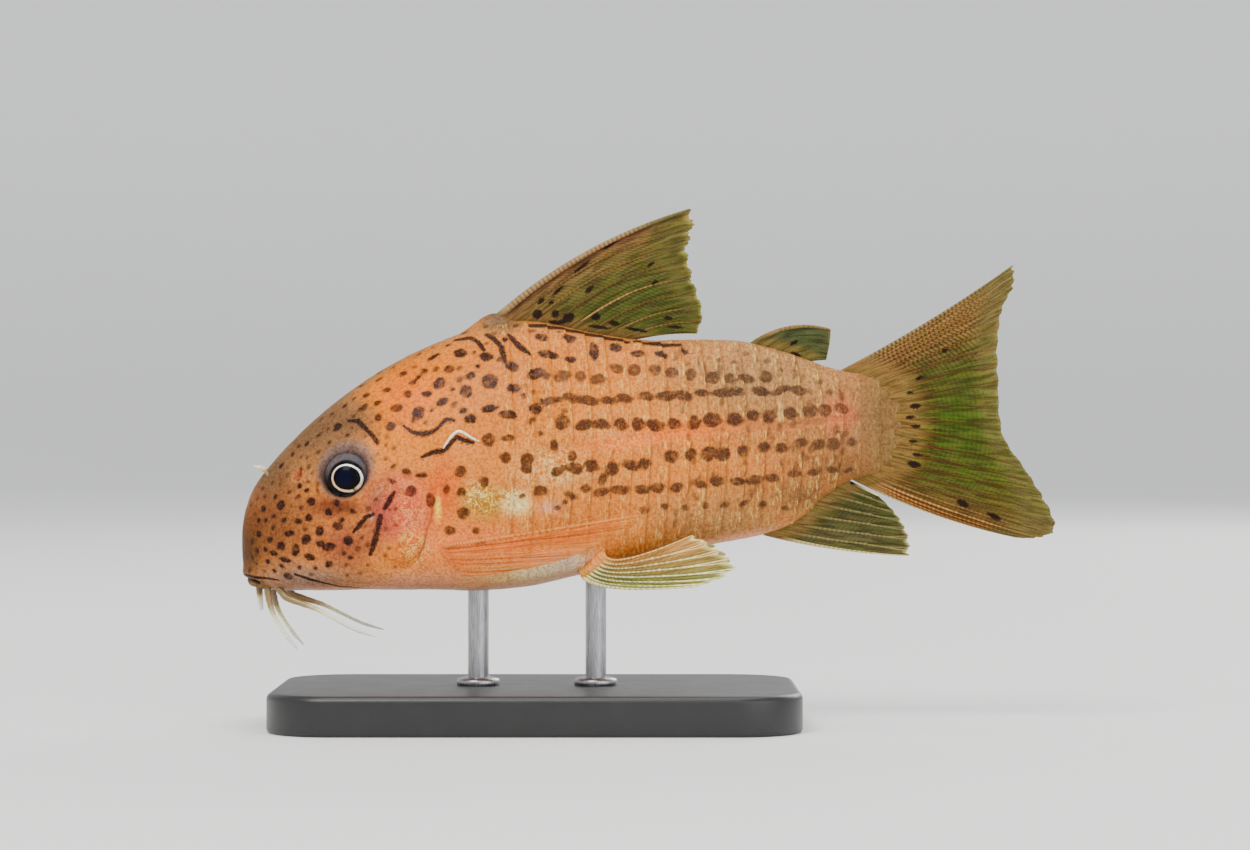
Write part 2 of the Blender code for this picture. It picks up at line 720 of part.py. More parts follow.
def make_pectoral_fin(label, side, finish):
    """A pectoral fin, with a strong spine, swept back along the flank."""
    margin = [
        (30.6, 7.0, 5.9), (29.6, 7.2, 5.0), (27.9, 7.5, 3.9), (25.8, 7.8, 2.9), (23.4, 8.0, 2.2),
        (21.4, 8.0, 1.9),
    ]

    def foot(share):
        s = 15.6 + 1.3 * share
        return s, angle_at(s, 3.6 - 1.7 * share)

    return paired_fin(
        f"pectoral_fin_{label}", side, 8, foot, margin, lambda share: 2.4 - 0.5 * share, finish,
        spine_half=0.14)


def make_pelvic_fin(label, side, finish):
    """A pelvic fin, spread out and back from under the belly."""
    margin = [
        (34.9, 6.4, 0.55), (36.7, 6.3, 1.15), (37.8, 6.0, 2.0), (37.1, 5.5, 2.8), (36.0, 5.1, 3.6),
        (34.6, 4.8, 4.4),
    ]

    def foot(share):
        return 26.0 + 1.7 * share, math.radians(150 - 14 * share)

    return paired_fin(
        f"pelvic_fin_{label}", side, 7, foot, margin, lambda share: 1.5 + 0.3 * share, finish,
        spine_half=0.08)


def make_eye(label, side, finish):
    return ellipsoid(f"eye_{label}", *eye_shape(side), finish, 18, 10)


def make_barbels(label, side, finish):
    """One side's feelers: the two at the mouth's corner, and the short one under the chin."""
    for name, path, radii in BARBELS:
        tube(f"{name}_{label}", [mirrored(point, side) for point in path], radii, finish)


def make_stand(foot_finish, rod_finish):
    """A low foot with rounded corners, and two short rods up to the belly."""
    bm = bmesh.new()
    bmesh.ops.create_cube(bm, size=1.0)
    for vert in bm.verts:
        vert.co = Vector((vert.co[i] * STAND_FOOT[i] for i in range(3)))
    upright = [e for e in bm.edges if abs(e.verts[0].co.z - e.verts[1].co.z) > 1]
    bmesh.ops.bevel(bm, geom=upright, offset=STAND_CORNER, segments=5, affect="EDGES", profile=0.5)
    upper = [e for e in bm.edges if all(v.co.z > 0 for v in e.verts) and len(e.link_faces) == 2
             and abs(e.calc_face_angle()) > 1]
    bmesh.ops.bevel(bm, geom=upper, offset=STAND_EDGE, segments=2, affect="EDGES", profile=0.5)
    centre = Vector((STAND_AT - TOTAL_LENGTH / 2, 0, STAND_FOOT[2] / 2))
    bmesh.ops.translate(bm, verts=bm.verts, vec=centre)
    mesh = bpy.data.meshes.new("stand_foot")
    bm.to_mesh(mesh)
    bm.free()
    add_object("stand_foot", mesh, foot_finish)
    for label, at in (("front", STAND_AT - ROD_SPACING / 2), ("rear", STAND_AT + ROD_SPACING / 2)):
        bottom = GAP - BELLY_ABOVE_FOOT
        lowest = min(bottom_at(at - ROD_RADIUS), bottom_at(at + ROD_RADIUS))
        top = lowest - GAP
        bm = bmesh.new()
        bmesh.ops.create_cone(bm, cap_ends=True, segments=16, radius1=1.0, radius2=1.0, depth=1.0)
        for vert in bm.verts:
            x, y, z = vert.co
            vert.co = world((at + ROD_RADIUS * x, ROD_RADIUS * y, bottom + (top - bottom) * (z + 0.5)))
        mesh = bpy.data.meshes.new("stand_rod")
        bm.to_mesh(mesh)
        bm.free()
        add_object(f"stand_rod_{label}", mesh, rod_finish)


def finish_named(name):
    red, green, blue, roughness, metallic = COLOURS[name]
    material = bpy.data.materials.new(name)
    material.use_nodes = True
    shader = material.node_tree.nodes["Principled BSDF"]
    shader.inputs["Base Color"].default_value = (red, green, blue, 1.0)
    shader.inputs["Roughness"].default_value = roughness
    shader.inputs["Metallic"].default_value = metallic
    return material


def main():
    for obj in list(bpy.data.objects):
        bpy.data.objects.remove(obj)
    finish = {name: finish_named(name) for name in COLOURS}
    make_head(finish["skin"])
    make_trunk(finish["skin"])
    make_tail(finish["skin"])
    both_sides(lambda label, side: make_eye(label, side, finish["eye"]))
    make_dorsal_fin(finish["fin"])
    make_adipose_fin(finish["fin"])
    make_tail_fin(finish["fin"])
    make_anal_fin(finish["fin"])
    both_sides(lambda label, side: make_pectoral_fin(label, side, finish["fin"]))
    both_sides(lambda label, side: make_pelvic_fin(label, side, finish["fin"]))
    both_sides(lambda label, side: make_barbels(label, side, finish["barbel"]))
    make_stand(finish["stand_foot"], finish["stand_rod"])
    for obj in bpy.data.objects:
        obj.data.transform(Matrix.Scale(MM, 4))


if __name__ == "__main__":
    main()
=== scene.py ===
"""A corydoras catfish on a plain display stand: its looks, made round the packed model.

Laid out as an add-on and run as a script. Sizes are in millimetres in the fish's own frame, as in the model's
source: s runs back from the snout tip, y to the fish's right, h up from the belly line. The fish faces -X, the
stand's foot is on the floor at Z = 0, and every mesh is turned into the model's metres by world().
"""

import math

import bmesh
import bpy
import numpy as np
from bpy.props import FloatProperty, FloatVectorProperty, IntProperty, PointerProperty
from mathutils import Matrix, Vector

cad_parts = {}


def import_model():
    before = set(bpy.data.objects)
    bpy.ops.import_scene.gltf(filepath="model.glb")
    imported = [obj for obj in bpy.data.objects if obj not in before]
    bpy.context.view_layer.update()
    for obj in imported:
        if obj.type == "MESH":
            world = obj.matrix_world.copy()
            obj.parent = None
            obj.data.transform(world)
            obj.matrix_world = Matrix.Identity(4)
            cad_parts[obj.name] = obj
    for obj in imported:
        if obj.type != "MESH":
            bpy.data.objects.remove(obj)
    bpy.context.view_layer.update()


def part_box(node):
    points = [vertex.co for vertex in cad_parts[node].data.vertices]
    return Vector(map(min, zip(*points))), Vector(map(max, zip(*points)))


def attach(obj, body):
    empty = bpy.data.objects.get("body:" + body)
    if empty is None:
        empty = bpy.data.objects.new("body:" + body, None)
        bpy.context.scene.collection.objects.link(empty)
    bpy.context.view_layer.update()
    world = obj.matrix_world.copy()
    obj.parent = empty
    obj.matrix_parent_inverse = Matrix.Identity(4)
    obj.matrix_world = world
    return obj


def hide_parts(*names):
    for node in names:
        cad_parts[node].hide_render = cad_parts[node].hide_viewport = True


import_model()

bl_info = {
    "name": "Corydoras catfish on a stand",
    "version": (1, 0, 0),
    "blender": (4, 5, 0),
    "location": "3D View > Sidebar > Catfish",
    "description": "Skin, eyes, fins, feelers and display stand of a corydoras catfish",
    "category": "Add Mesh",
}

MM = 0.001
SEED = 20431

# The fish's own frame in the model: its length, and how high its belly line stands over the floor.
LENGTH = 62.5
BELLY_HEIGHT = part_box("stand_foot")[1].z / MM + 7.3
GAP = 0.3

# The body's outline, as in the model's source: (distance behind the snout, value).
BACK_LINE = [
    (0, 3.5), (0.6, 7.1), (2.0, 9.3), (4.1, 11.6), (7.5, 14.6), (13.6, 18.35), (18.0, 20.0),
    (21.5, 20.6), (25.3, 20.0), (31.4, 19.1), (38.6, 18.95), (42.9, 17.75), (45.6, 16.85), (50.9, 16.7),
]
BELLY_LINE = [
    (0, 3.5), (0.3, 1.3), (0.9, 0.35), (2.2, 0.0), (8.0, 0.0), (16.0, 0.0), (21.4, 0.2), (26.0, 1.15),
    (30.5, 2.1), (36.6, 3.55), (40.6, 4.45), (42.6, 5.4), (44.6, 7.2), (46.4, 8.3), (50.9, 8.5),
]
HALF_WIDTH = [
    (0, 0), (0.6, 1.75), (2.0, 3.1), (5.0, 4.55), (8.0, 5.35), (12.0, 6.2), (16.0, 6.6), (20.5, 6.45),
    (26.0, 5.75), (32.0, 4.65), (38.0, 3.45), (44.0, 2.35), (50.9, 1.45),
]
WIDEST_SHARE = [(0, 0.5), (2.0, 0.36), (8.0, 0.35), (16.0, 0.33), (26.0, 0.45), (36.0, 0.5), (50.9, 0.5)]
BACK_PINCH = [(0, 0.0), (4.0, -0.1), (10.0, -0.17), (20.0, -0.24), (35.0, -0.15), (50.9, 0.0)]
BELLY_SQUARENESS = [(0, 0.0), (3.0, 0.3), (12.0, 0.5), (24.0, 0.5), (36.0, 0.15), (50.9, 0.0)]
BELLY_FLATNESS = 0.28
FLESH_END = 50.9
END_ROUNDING_START = 46.6
END_LEVEL = 12.6

# The bony plates of the flank.
PLATE_START = 19.7
PLATE_PITCH = 1.46
PLATE_LIFT = 0.16
PLATE_SLANT = 0.9
PLATES = 21
FLANK_SEAM = 82
PLATE_STEPS = [0.0, 0.06, 0.16, 0.3, 0.45, 0.6, 0.75, 0.87, 0.95]

# The skin's grid: rows of the lips and snout, rows of the head, columns all the way round.
SNOUT_END = 2.6
SNOUT_ROWS = 48
HEAD_STEP = 0.14
COLUMNS = 256
SIDE_CROWDING = 0.2

# The head's parts, as in the model's source.
EYE_AT = (8.3, 8.88)
EYE_RADIUS = 1.85
EYE_DEPTH = 1.25
EYE_SET_BACK = 0.6
GILL_COVER_AT = (12.35, 5.3)
GILL_COVER_REACH = (2.2, 3.3)
NOSTRIL_AT = (4.6, 8.75)
NOSE_FLAP_AT = (2.1, 1.15)
MOUTH_HALF_ANGLE = 78
UPPER_LIP = {"front": 0.27, "corner": 1.95, "half_width": 2.25, "level": 1.3, "droop": 0.35}
LOWER_LIP = {"front": 0.5, "corner": 1.95, "half_width": 2.05, "level": 0.42, "droop": 0.1}
MOUTH_LINE = {"front": 0.3, "corner": 1.95, "half_width": 2.2, "level": 0.88, "droop": 0.2}

# Where the photo's camera looks along, as (s, h), and how far it is from the fish's middle plane. Marks and
# washes below are placed as that camera sees them against the middle plane.
VIEW_AXIS = (29.33, 12.6)
VIEW_DISTANCE = 266.0

# Marks of one side: (s, h, half length, half height, tilt in degrees).
SNOUT_SPOTS = [
    (2.99, 6.47, 0.34, 0.31, 0), (5.29, 6.7, 0.31, 0.31, 0), (7.28, 6.63, 0.23, 0.23, 0),
    (6.66, 5.94, 0.27, 0.23, 0), (8.5, 6.01, 0.29, 0.18, -35), (5.13, 5.48, 0.23, 0.23, 0),
    (4.33, 5.21, 0.28, 0.23, 0), (7.58, 5.36, 0.21, 0.2, 0), (7.35, 4.86, 0.38, 0.31, 0),
    (5.94, 4.48, 0.28, 0.32, 0), (1.3, 4.29, 0.23, 0.23, 0), (3.64, 4.29, 0.44, 0.21, 0),
    (4.9, 3.83, 0.34, 0.38, 0), (8.16, 3.75, 0.35, 0.32, 0), (2.99, 3.33, 0.32, 0.31, -20),
    (2.14, 3.87, 0.23, 0.23, 0), (6.05, 3.49, 0.34, 0.25, -25), (6.66, 3.26, 0.54, 0.28, 0),
    (4.1, 3.03, 0.29, 0.38, 0), (2.41, 2.8, 0.4, 0.19, -15), (5.17, 2.49, 0.44, 0.23, -10),
    (3.29, 2.3, 0.69, 0.18, -8), (6.66, 1.95, 0.25, 0.25, 0), (3.56, 1.03, 0.34, 0.26, 0),
    (3.14, 1.76, 0.25, 0.15, -25), (4.4, 7.93, 0.2, 0.2, 0), (4.98, 7.58, 0.17, 0.15, 0),
    (3.03, 9.46, 0.15, 0.23, -30), (4.29, 7.09, 0.23, 0.2, 0), (3.68, 7.47, 0.23, 0.15, 0),
    (1.65, 6.17, 0.19, 0.23, 0), (2.37, 4.79, 0.2, 0.18, 0), (1.84, 5.32, 0.15, 0.15, 0),
    (2.45, 5.63, 0.26, 0.14, 0), (3.22, 5.32, 0.2, 0.17, 0), (1.84, 3.1, 0.18, 0.18, 0),
    (1.15, 2.95, 0.2, 0.2, 0), (1.99, 2.18, 0.2, 0.18, 0), (0.77, 3.72, 0.15, 0.2, 0),
    (4.52, 6.24, 0.17, 0.15, 0), (2.53, 7.09, 0.18, 0.18, 0), (5.82, 7.55, 0.17, 0.23, 20),
    (7.89, 2.8, 0.18, 0.15, 0), (1.3, 5.32, 0.15, 0.17, 0), (2.53, 1.42, 0.2, 0.15, 0),
    (4.44, 1.72, 0.17, 0.14, 0), (5.67, 1.65, 0.18, 0.15, 0), (9.19, 3.94, 0.18, 0.15, 0),
    (8.27, 2.49, 0.2, 0.15, 0),
]
BROW_SPOTS = [
    (4.98, 11.15, 0.21, 0.2, 0), (5.9, 11.91, 0.28, 0.17, 15), (7.28, 12.45, 0.34, 0.32, 30),
    (8.04, 11.76, 0.2, 0.18, 0), (9.31, 13.9, 0.46, 0.23, 40), (9.54, 14.91, 0.31, 0.21, 0),
    (10.49, 16.09, 0.26, 0.17, 20), (11.07, 15.28, 0.46, 0.2, -8), (10.38, 14.29, 0.38, 0.2, 0),
    (11.83, 13.9, 0.43, 0.31, 0), (10.46, 13.18, 0.28, 0.28, 0), (11.38, 12.52, 0.38, 0.32, -10),
    (11.57, 9.44, 0.23, 0.17, 0), (12.56, 9.08, 0.32, 0.23, -30), (13.79, 8.77, 0.4, 0.19, 0),
    (11.53, 8.27, 0.4, 0.15, -30), (3.91, 10.38, 0.18, 0.2, 0), (4.37, 10.99, 0.15, 0.15, 0),
    (6.74, 11.22, 0.15, 0.15, 0), (7.89, 14.06, 0.23, 0.15, 20), (6.82, 13.37, 0.23, 0.15, 20),
    (8.58, 14.59, 0.2, 0.14, 30), (9.19, 15.66, 0.2, 0.12, 30), (4.52, 9.15, 0.15, 0.18, 0),
    (11.03, 10.07, 0.17, 0.14, 0),
]
NAPE_SPOTS = [
    (12.68, 14.98, 0.37, 0.28, -15), (14.13, 14.99, 0.38, 0.25, 0), (13.08, 15.89, 0.28, 0.23, 30),
    (13.94, 16.7, 0.26, 0.28, 30), (13.48, 16.28, 0.26, 0.17, 45), (15.11, 15.8, 0.43, 0.43, 0),
    (15.86, 16.87, 0.35, 0.32, 0), (15.32, 14.36, 0.41, 0.29, 15), (13.52, 13.52, 0.43, 0.46, -10),
    (13.18, 12.95, 0.23, 0.2, 0), (16.95, 13.67, 0.32, 0.23, 0), (17.5, 13.06, 0.4, 0.34, 0),
    (17.18, 15.16, 0.43, 0.49, 15), (17.46, 16.35, 0.35, 0.32, 0), (16.7, 18.12, 0.51, 0.38, -25),
    (14.67, 17.85, 0.46, 0.21, 35), (12.33, 16.52, 0.32, 0.23, 20), (13.56, 18.04, 0.23, 0.15, 30),
    (18.69, 17.85, 0.52, 0.35, -15), (20.72, 17.04, 0.55, 0.35, -30), (18.98, 15.97, 0.54, 0.61, 10),
    (20.84, 15.4, 0.47, 0.35, 0), (18.96, 13.86, 0.61, 0.26, 10), (20.34, 13.37, 0.63, 0.31, -5),
    (22.48, 13.79, 0.46, 0.41, 0), (22.98, 14.36, 0.23, 0.28, 40), (21.6, 14.78, 0.23, 0.23, 0),
    (22.52, 16.51, 0.38, 0.64, -60), (22.9, 19.26, 0.46, 0.35, -20), (25.09, 19.19, 0.47, 0.38, -20),
    (23.44, 17.96, 0.69, 0.35, -8), (25.16, 17.62, 0.4, 0.26, 10), (26.94, 18.23, 0.32, 0.84, 5),
    (28.61, 18.5, 0.43, 0.46, 0), (30.28, 18.02, 0.47, 0.32, 8), (32.1, 17.96, 0.47, 0.29, -20),
    (33.86, 18.19, 0.31, 0.23, 0), (20.15, 19.11, 0.23, 0.23, 0), (15.78, 18.73, 0.23, 0.15, 0),
    (18.08, 17.12, 0.2, 0.17, 0), (16.09, 15.36, 0.2, 0.17, 0), (14.55, 13.75, 0.18, 0.15, 0),
]
SHOULDER_SPOTS = [
    (18.87, 11.49, 0.44, 0.44, 0), (20.34, 11.57, 0.47, 0.23, 0), (20.15, 10.11, 0.41, 0.34, -25),
    (16.72, 9.04, 0.4, 0.37, 0), (16.95, 5.84, 0.4, 0.41, 0), (15.89, 4.52, 0.4, 0.29, 0),
    (16.78, 7.47, 0.31, 0.31, 0), (17.96, 4.56, 0.28, 0.23, 0), (18.15, 3.56, 0.38, 0.23, 10),
    (12.95, 7.51, 0.37, 0.35, 0), (15.66, 7.62, 0.23, 0.32, 0), (14.42, 6.86, 0.31, 0.47, 5),
    (21.83, 9.96, 0.46, 0.41, 0), (21.79, 9.27, 0.38, 0.38, 0), (22.83, 11.91, 0.2, 0.2, 0),
    (24.13, 9.04, 0.43, 0.31, 25), (24.7, 9.38, 0.26, 0.2, 20), (22.83, 7.55, 0.49, 0.35, 0),
    (26.31, 7.77, 0.35, 0.31, 0), (25.2, 7.2, 0.49, 0.25, -25), (27.58, 8.39, 0.26, 0.46, -20),
    (21.45, 7.16, 0.23, 0.18, 0), (24.17, 6.24, 0.23, 0.18, 0), (24.67, 6.7, 0.23, 0.18, 0),
    (18.54, 8.23, 0.31, 0.35, 0), (23.9, 10.99, 0.28, 0.41, 10), (25.28, 10.23, 0.31, 0.31, 0),
]

# How dark each group of marks is, how much all marks grow from the size read off, and how far they stray on
# the right side.
SPOT_GROUPS = [(SNOUT_SPOTS, 1.0), (BROW_SPOTS, 0.95), (NAPE_SPOTS, 1.0), (SHOULDER_SPOTS, 0.9)]
MARK_GROWTH = 1.16
RIGHT_SIDE_SHIFT = 0.3

# Rows of marks along the flank, one mark to a plate: first and last s, the line as (s, h), half length, half
# height, and tone.
SPOT_ROWS = [
    (24.4, 40.0, [(24.4, 16.35), (27.1, 16.1), (28.6, 16.8), (33.0, 16.7), (36.0, 16.25), (40.0, 16.3)],
     0.42, 0.36, 0.85),
    (23.8, 42.5, [(23.8, 14.5), (28.0, 14.5), (32.2, 14.85), (36.0, 15.1), (42.5, 15.25)], 0.6, 0.3, 0.9),
    (24.5, 46.2, [(24.5, 12.7), (34.4, 12.78), (38.0, 13.15), (42.0, 13.5), (46.2, 13.85)], 0.46, 0.4, 0.92),
    (25.5, 47.0, [(25.5, 9.4), (29.8, 9.5), (32.6, 10.1), (37.6, 10.55), (42.5, 11.15), (47.0, 11.2)],
     0.46, 0.38, 0.92),
    (27.6, 48.0, [(27.6, 7.5), (30.9, 7.85), (36.0, 8.25), (40.0, 8.55), (44.4, 9.1), (48.0, 9.2)],
     0.52, 0.27, 0.9),
    (30.6, 41.5, [(30.6, 6.1), (33.5, 6.35), (38.5, 6.6), (41.5, 6.3)], 0.27, 0.23, 0.85),
]

# Small marks strewn between the others: tries, first and last s, lowest h, smallest and largest size, tone.
SMALL_MARKS = [
    (300, 0.7, 12.0, 1.0, 0.1, 0.2, 0.72), (90, 12.0, 25.0, 12.6, 0.14, 0.28, 0.85),
    (80, 33.0, 44.5, 15.2, 0.14, 0.3, 0.62), (90, 44.5, 50.5, 9.4, 0.12, 0.24, 0.68),
]

# Drawn lines of one side: (half width, tone, points as (s, h)). The first ones are also furrows in the head.
FURROWS = 4
DARK_LINES = [
    (0.2, 1.0, [(13.94, 10.23), (14.63, 10.53), (15.24, 10.61), (15.7, 10.84), (16.09, 11.38),
                (16.47, 11.64), (17.01, 11.45), (17.54, 11.3)]),
    (0.19, 1.0, [(8.66, 4.56), (9.12, 5.09), (9.5, 5.55), (9.9, 5.7)]),
    (0.23, 1.0, [(10.6, 5.5), (10.45, 4.79), (10.2, 3.79), (9.88, 2.87)]),
    (0.2, 0.7, [(11.64, 7.32), (11.34, 6.86), (11.0, 6.3)]),
    (0.19, 0.7, [(8.27, 12.91), (8.89, 12.91), (9.5, 12.29), (10.03, 11.76), (10.34, 11.3)]),
    (0.18, 0.8, [(12.49, 12.45), (13.02, 12.06), (13.79, 11.91), (14.55, 12.06), (15.17, 12.52),
                 (15.63, 13.06), (16.09, 12.98)]),
    (0.12, 1.0, [(4.29, 1.11), (5.21, 0.8), (6.36, 0.5), (7.51, 0.27), (9.8, 0.09)]),
    (0.1, 1.0, [(0.45, 1.2), (1.1, 1.02), (1.9, 0.86), (2.6, 0.75)]),
    (0.12, 0.3, [(14.63, 6.47), (14.48, 5.48), (14.17, 4.56), (13.94, 3.41), (13.48, 2.41)]),
    (0.2, 0.75, [(16.4, 19.1), (17.46, 19.26), (18.08, 18.96), (18.5, 18.4)]),
    (0.22, 0.75, [(18.77, 19.49), (19.3, 19.19), (19.84, 18.58), (20.15, 17.43)]),
    (0.25, 0.75, [(20.5, 19.4), (20.86, 19.01), (21.32, 18.48), (21.93, 18.02)]),
    (0.34, 1.0, [(22.2, 20.2), (24.4, 19.95), (27.4, 19.35), (29.4, 18.95)]),
    (0.26, 0.9, [(30.2, 18.95), (32.0, 18.7), (33.4, 18.6)]),
]
# Pearly lines that stand out of the skin: (half width, points as (s, h)).
PEARLY_LINES = [
    (0.12, [(15.4, 10.8), (15.75, 11.35), (16.16, 11.86), (16.62, 12.12), (17.16, 11.87), (17.7, 11.55),
            (18.15, 11.35)]),
]

# Broad washes of colour over the body, laid one on another: (s, h, half length, half height, colour, strength).
BODY_COLOUR = (216, 154, 106)
WASHES = [
    ("stem", 49.6, 13.0, 14.6, 9.0, (168, 130, 98), 0.95),
    ("rear back", 40.0, 16.5, 12.0, 6.4, (180, 148, 114), 0.95),
    # Partly painted light: lighter than the skin's own colour, to even out the shade low on the rear belly.
    ("rear belly", 37.4, 4.8, 9.4, 4.2, (184, 146, 108), 0.9),
    ("nape", 12.9, 14.9, 5.7, 5.7, (226, 144, 70), 1.0),
    ("shoulder", 21.3, 15.7, 9.2, 5.4, (212, 144, 88), 0.7),
    ("forehead", 4.8, 12.2, 5.6, 4.8, (140, 112, 82), 1.0),
    ("brow", 7.9, 13.0, 3.8, 3.2, (142, 112, 84), 0.9),
    ("snout", 2.1, 5.3, 5.6, 6.0, (154, 104, 66), 1.0),
    ("forehead front", 2.0, 9.4, 3.4, 3.6, (132, 104, 76), 0.9),
    ("snout tip", 0.2, 3.0, 2.2, 4.2, (120, 80, 32), 1.0),
    ("front cheek", 7.9, 3.4, 3.8, 3.1, (170, 106, 78), 0.9),
    ("under the eye", 7.1, 6.3, 3.4, 1.3, (142, 80, 48), 0.9),
    ("cheek back", 11.0, 6.2, 2.8, 3.8, (178, 104, 92), 1.0),
    ("gill cover", 12.7, 6.1, 3.2, 3.8, (222, 122, 104), 1.0),
    ("gill cover's foot", 12.5, 2.6, 2.2, 1.9, (212, 132, 78), 0.9),
    ("red shoulder", 15.4, 7.6, 1.9, 3.6, (224, 112, 70), 0.6),
    ("chest", 18.2, 3.2, 7.4, 2.6, (242, 166, 132), 0.95),
    # The throat, chin and belly washes are the pale underside's colour, lightened further as painted light to even
    # out the shade under the fish.
    ("pale throat", 13.4, 0.2, 8.6, 2.2, (222, 180, 160), 0.95),
    ("chin", 5.0, 0.7, 6.8, 2.2, (172, 146, 130), 1.0),
    ("pale belly", 23.0, 1.2, 9.6, 2.4, (255, 220, 198), 1.0),
    # Painted highlight: a lilac-white glint on the belly.
    ("violet patch", 25.0, 2.1, 4.2, 1.8, (244, 218, 208), 0.85),
    ("gold patch", 18.8, 6.7, 2.8, 2.0, (190, 152, 86), 0.9),
    ("pale patch", 21.0, 6.5, 1.9, 1.5, (232, 226, 196), 0.95),
    ("lilac patch", 23.6, 6.3, 1.8, 0.9, (222, 184, 168), 0.8),
    ("pale flank", 24.4, 8.4, 4.6, 1.9, (216, 168, 124), 0.6),
    ("rosy stem", 45.8, 13.4, 2.5, 2.5, (222, 140, 110), 0.7),
    ("low stem", 46.2, 9.2, 3.8, 2.2, (160, 118, 78), 0.85),
    ("under the stem", 42.9, 7.2, 4.6, 2.4, (158, 120, 82), 0.9),
    ("foot of the dorsal spine", 19.9, 20.6, 2.2, 1.5, (150, 122, 92), 1.0),
    ("pale ring on the cheek", 9.85, 5.62, 0.5, 0.42, (222, 206, 184), 1.0),
    ("gill cover's pale edge", 15.0, 6.2, 0.4, 1.7, (248, 222, 160), 1.0),
]
# The olive end of the tail's flesh: where it starts, how far it takes to come in, and its colour.
OLIVE_END = (46.6, 2.8, (150, 122, 82))
# The pale belly's colour, lightened further: partly painted light that evens out the shade under the fish.
PALE_BELLY_AND_PAINTED_LIGHT = (232, 190, 168)
RIDGE_COLOUR = (146, 116, 76)
SEAM_COLOUR = (234, 146, 98)
ORBIT_AT = (8.35, 9.1)
ORBIT_COLOUR = (148, 128, 120)
ORBIT_SHADE = (78, 64, 66)
SPOT_MAROON = (56, 18, 6)
SPOT_BROWN = (66, 34, 25)
SPOT_GREY = (76, 45, 38)
STREAK_COLOUR = (246, 210, 170)
GOLD_COLOUR = (240, 212, 164)


def painted(colours):
    """The linear colours that look like the given ones, 0 to 255, under the studio's light and view."""
    shown = np.asarray(colours, float) / 255
    linear = np.where(shown <= 0.04045, shown / 12.92, ((shown + 0.055) / 1.055) ** 2.4)
    grey = (linear @ np.array([0.25, 0.6, 0.15]))[..., None]
    rich = np.maximum(grey + (linear - grey) * (0.89 + 1.25 * grey), 0.0)
    return np.clip(0.637 * rich**1.2 * (1 + 1.25 * grey), 0.002, 0.92)


def paint(red, green, blue):
    return tuple(painted([red, green, blue]).tolist())


def world(points):
    """Points (s, y, h) of the fish's frame in the model's metres."""
    return (np.asarray(points, float) + (-LENGTH / 2, 0.0, BELLY_HEIGHT)) * MM


def fish_frame(point):
    """A point of the model's metres as (s, y, h)."""
    return np.array(point) / MM - (-LENGTH / 2, 0.0, BELLY_HEIGHT)


def ease(x):
    """0 below 0, 1 above 1, and a smooth step between."""
    x = np.clip(x, 0.0, 1.0)
    return x * x * (3 - 2 * x)


def smooth(stations):
    """A natural cubic spline through the stations, over the root of the distance, which rounds the snout."""
    at = np.sqrt([s for s, _ in stations])
    value = np.array([v for _, v in stations], float)
    step = np.diff(at)
    system = np.eye(len(at))
    turn = np.zeros(len(at))
    for i in range(1, len(at) - 1):
        system[i, i - 1:i + 2] = step[i - 1], 2 * (step[i - 1] + step[i]), step[i]
        turn[i] = 6 * ((value[i + 1] - value[i]) / step[i] - (value[i] - value[i - 1]) / step[i - 1])
    bend = np.linalg.solve(system, turn)

    def read(s):
        q = np.sqrt(np.clip(s, 0.0, stations[-1][0]))
        i = np.clip(np.searchsorted(at, q, side="right") - 1, 0, len(at) - 2)
        before, after = at[i + 1] - q, q - at[i]
        cubic = (bend[i] * before**3 + bend[i + 1] * after**3) / (6 * step[i])
        straight = (value[i] / step[i] - bend[i] * step[i] / 6) * before
        return cubic + straight + (value[i + 1] / step[i] - bend[i + 1] * step[i] / 6) * after

    return read


back_line = smooth(BACK_LINE)
belly_line = smooth(BELLY_LINE)
half_width = smooth(HALF_WIDTH)
widest_share = smooth(WIDEST_SHARE)
back_pinch = smooth(BACK_PINCH)
belly_squareness = smooth(BELLY_SQUARENESS)


def end_rounding(s):
    """The share of its height that the flesh keeps as it rounds off inside the tail fin."""
    t = np.clip((s - END_ROUNDING_START) / (FLESH_END - END_ROUNDING_START), 0.0, 1.0)
    return (1 - t**2.6) ** (1 / 2.2)


def top_at(s):
    return END_LEVEL + (back_line(s) - END_LEVEL) * end_rounding(s)


def bottom_at(s):
    return END_LEVEL + (belly_line(s) - END_LEVEL) * end_rounding(s)


def plain_skin(s, angle):
    """The body with no relief as points (s, y, h); angle runs from the back down the right side and round."""
    s, angle = np.broadcast_arrays(np.asarray(s, float), np.asarray(angle, float))
    top, bottom = top_at(s), bottom_at(s)
    width = half_width(s) * np.sqrt(end_rounding(s))
    level = bottom + (top - bottom) * widest_share(s)
    rise, side = np.cos(angle), np.sin(angle)
    y = width * side * (1 + np.where(rise >= 0, back_pinch(s), belly_squareness(s)) * rise**2)
    lower = level + (level - bottom) * rise * (1 + BELLY_FLATNESS * side**2)
    return np.stack([s, y, np.where(rise >= 0, level + (top - level) * rise, lower)], -1)


def angle_at(s, h):
    """The angle at which the body's right side is at level h."""
    s, h = np.broadcast_arrays(np.asarray(s, float), np.asarray(h, float))
    low, high = np.zeros(s.shape), np.full(s.shape, math.pi)
    for _ in range(32):
        middle = (low + high) / 2
        above = plain_skin(s, middle)[..., 2] > h
        low, high = np.where(above, middle, low), np.where(above, high, middle)
    return low


def mirrored(points, side):
    return np.asarray(points) * (1.0, side, 1.0)


def on_side(places, side=1, lift=0.0):
    """Points of the skin at places (s, h) of one side, raised along the skin's normal by lift."""
    places = np.atleast_2d(places)
    angle = angle_at(places[:, 0], places[:, 1])
    return mirrored(skin_points(places[:, 0], angle, lift), side)


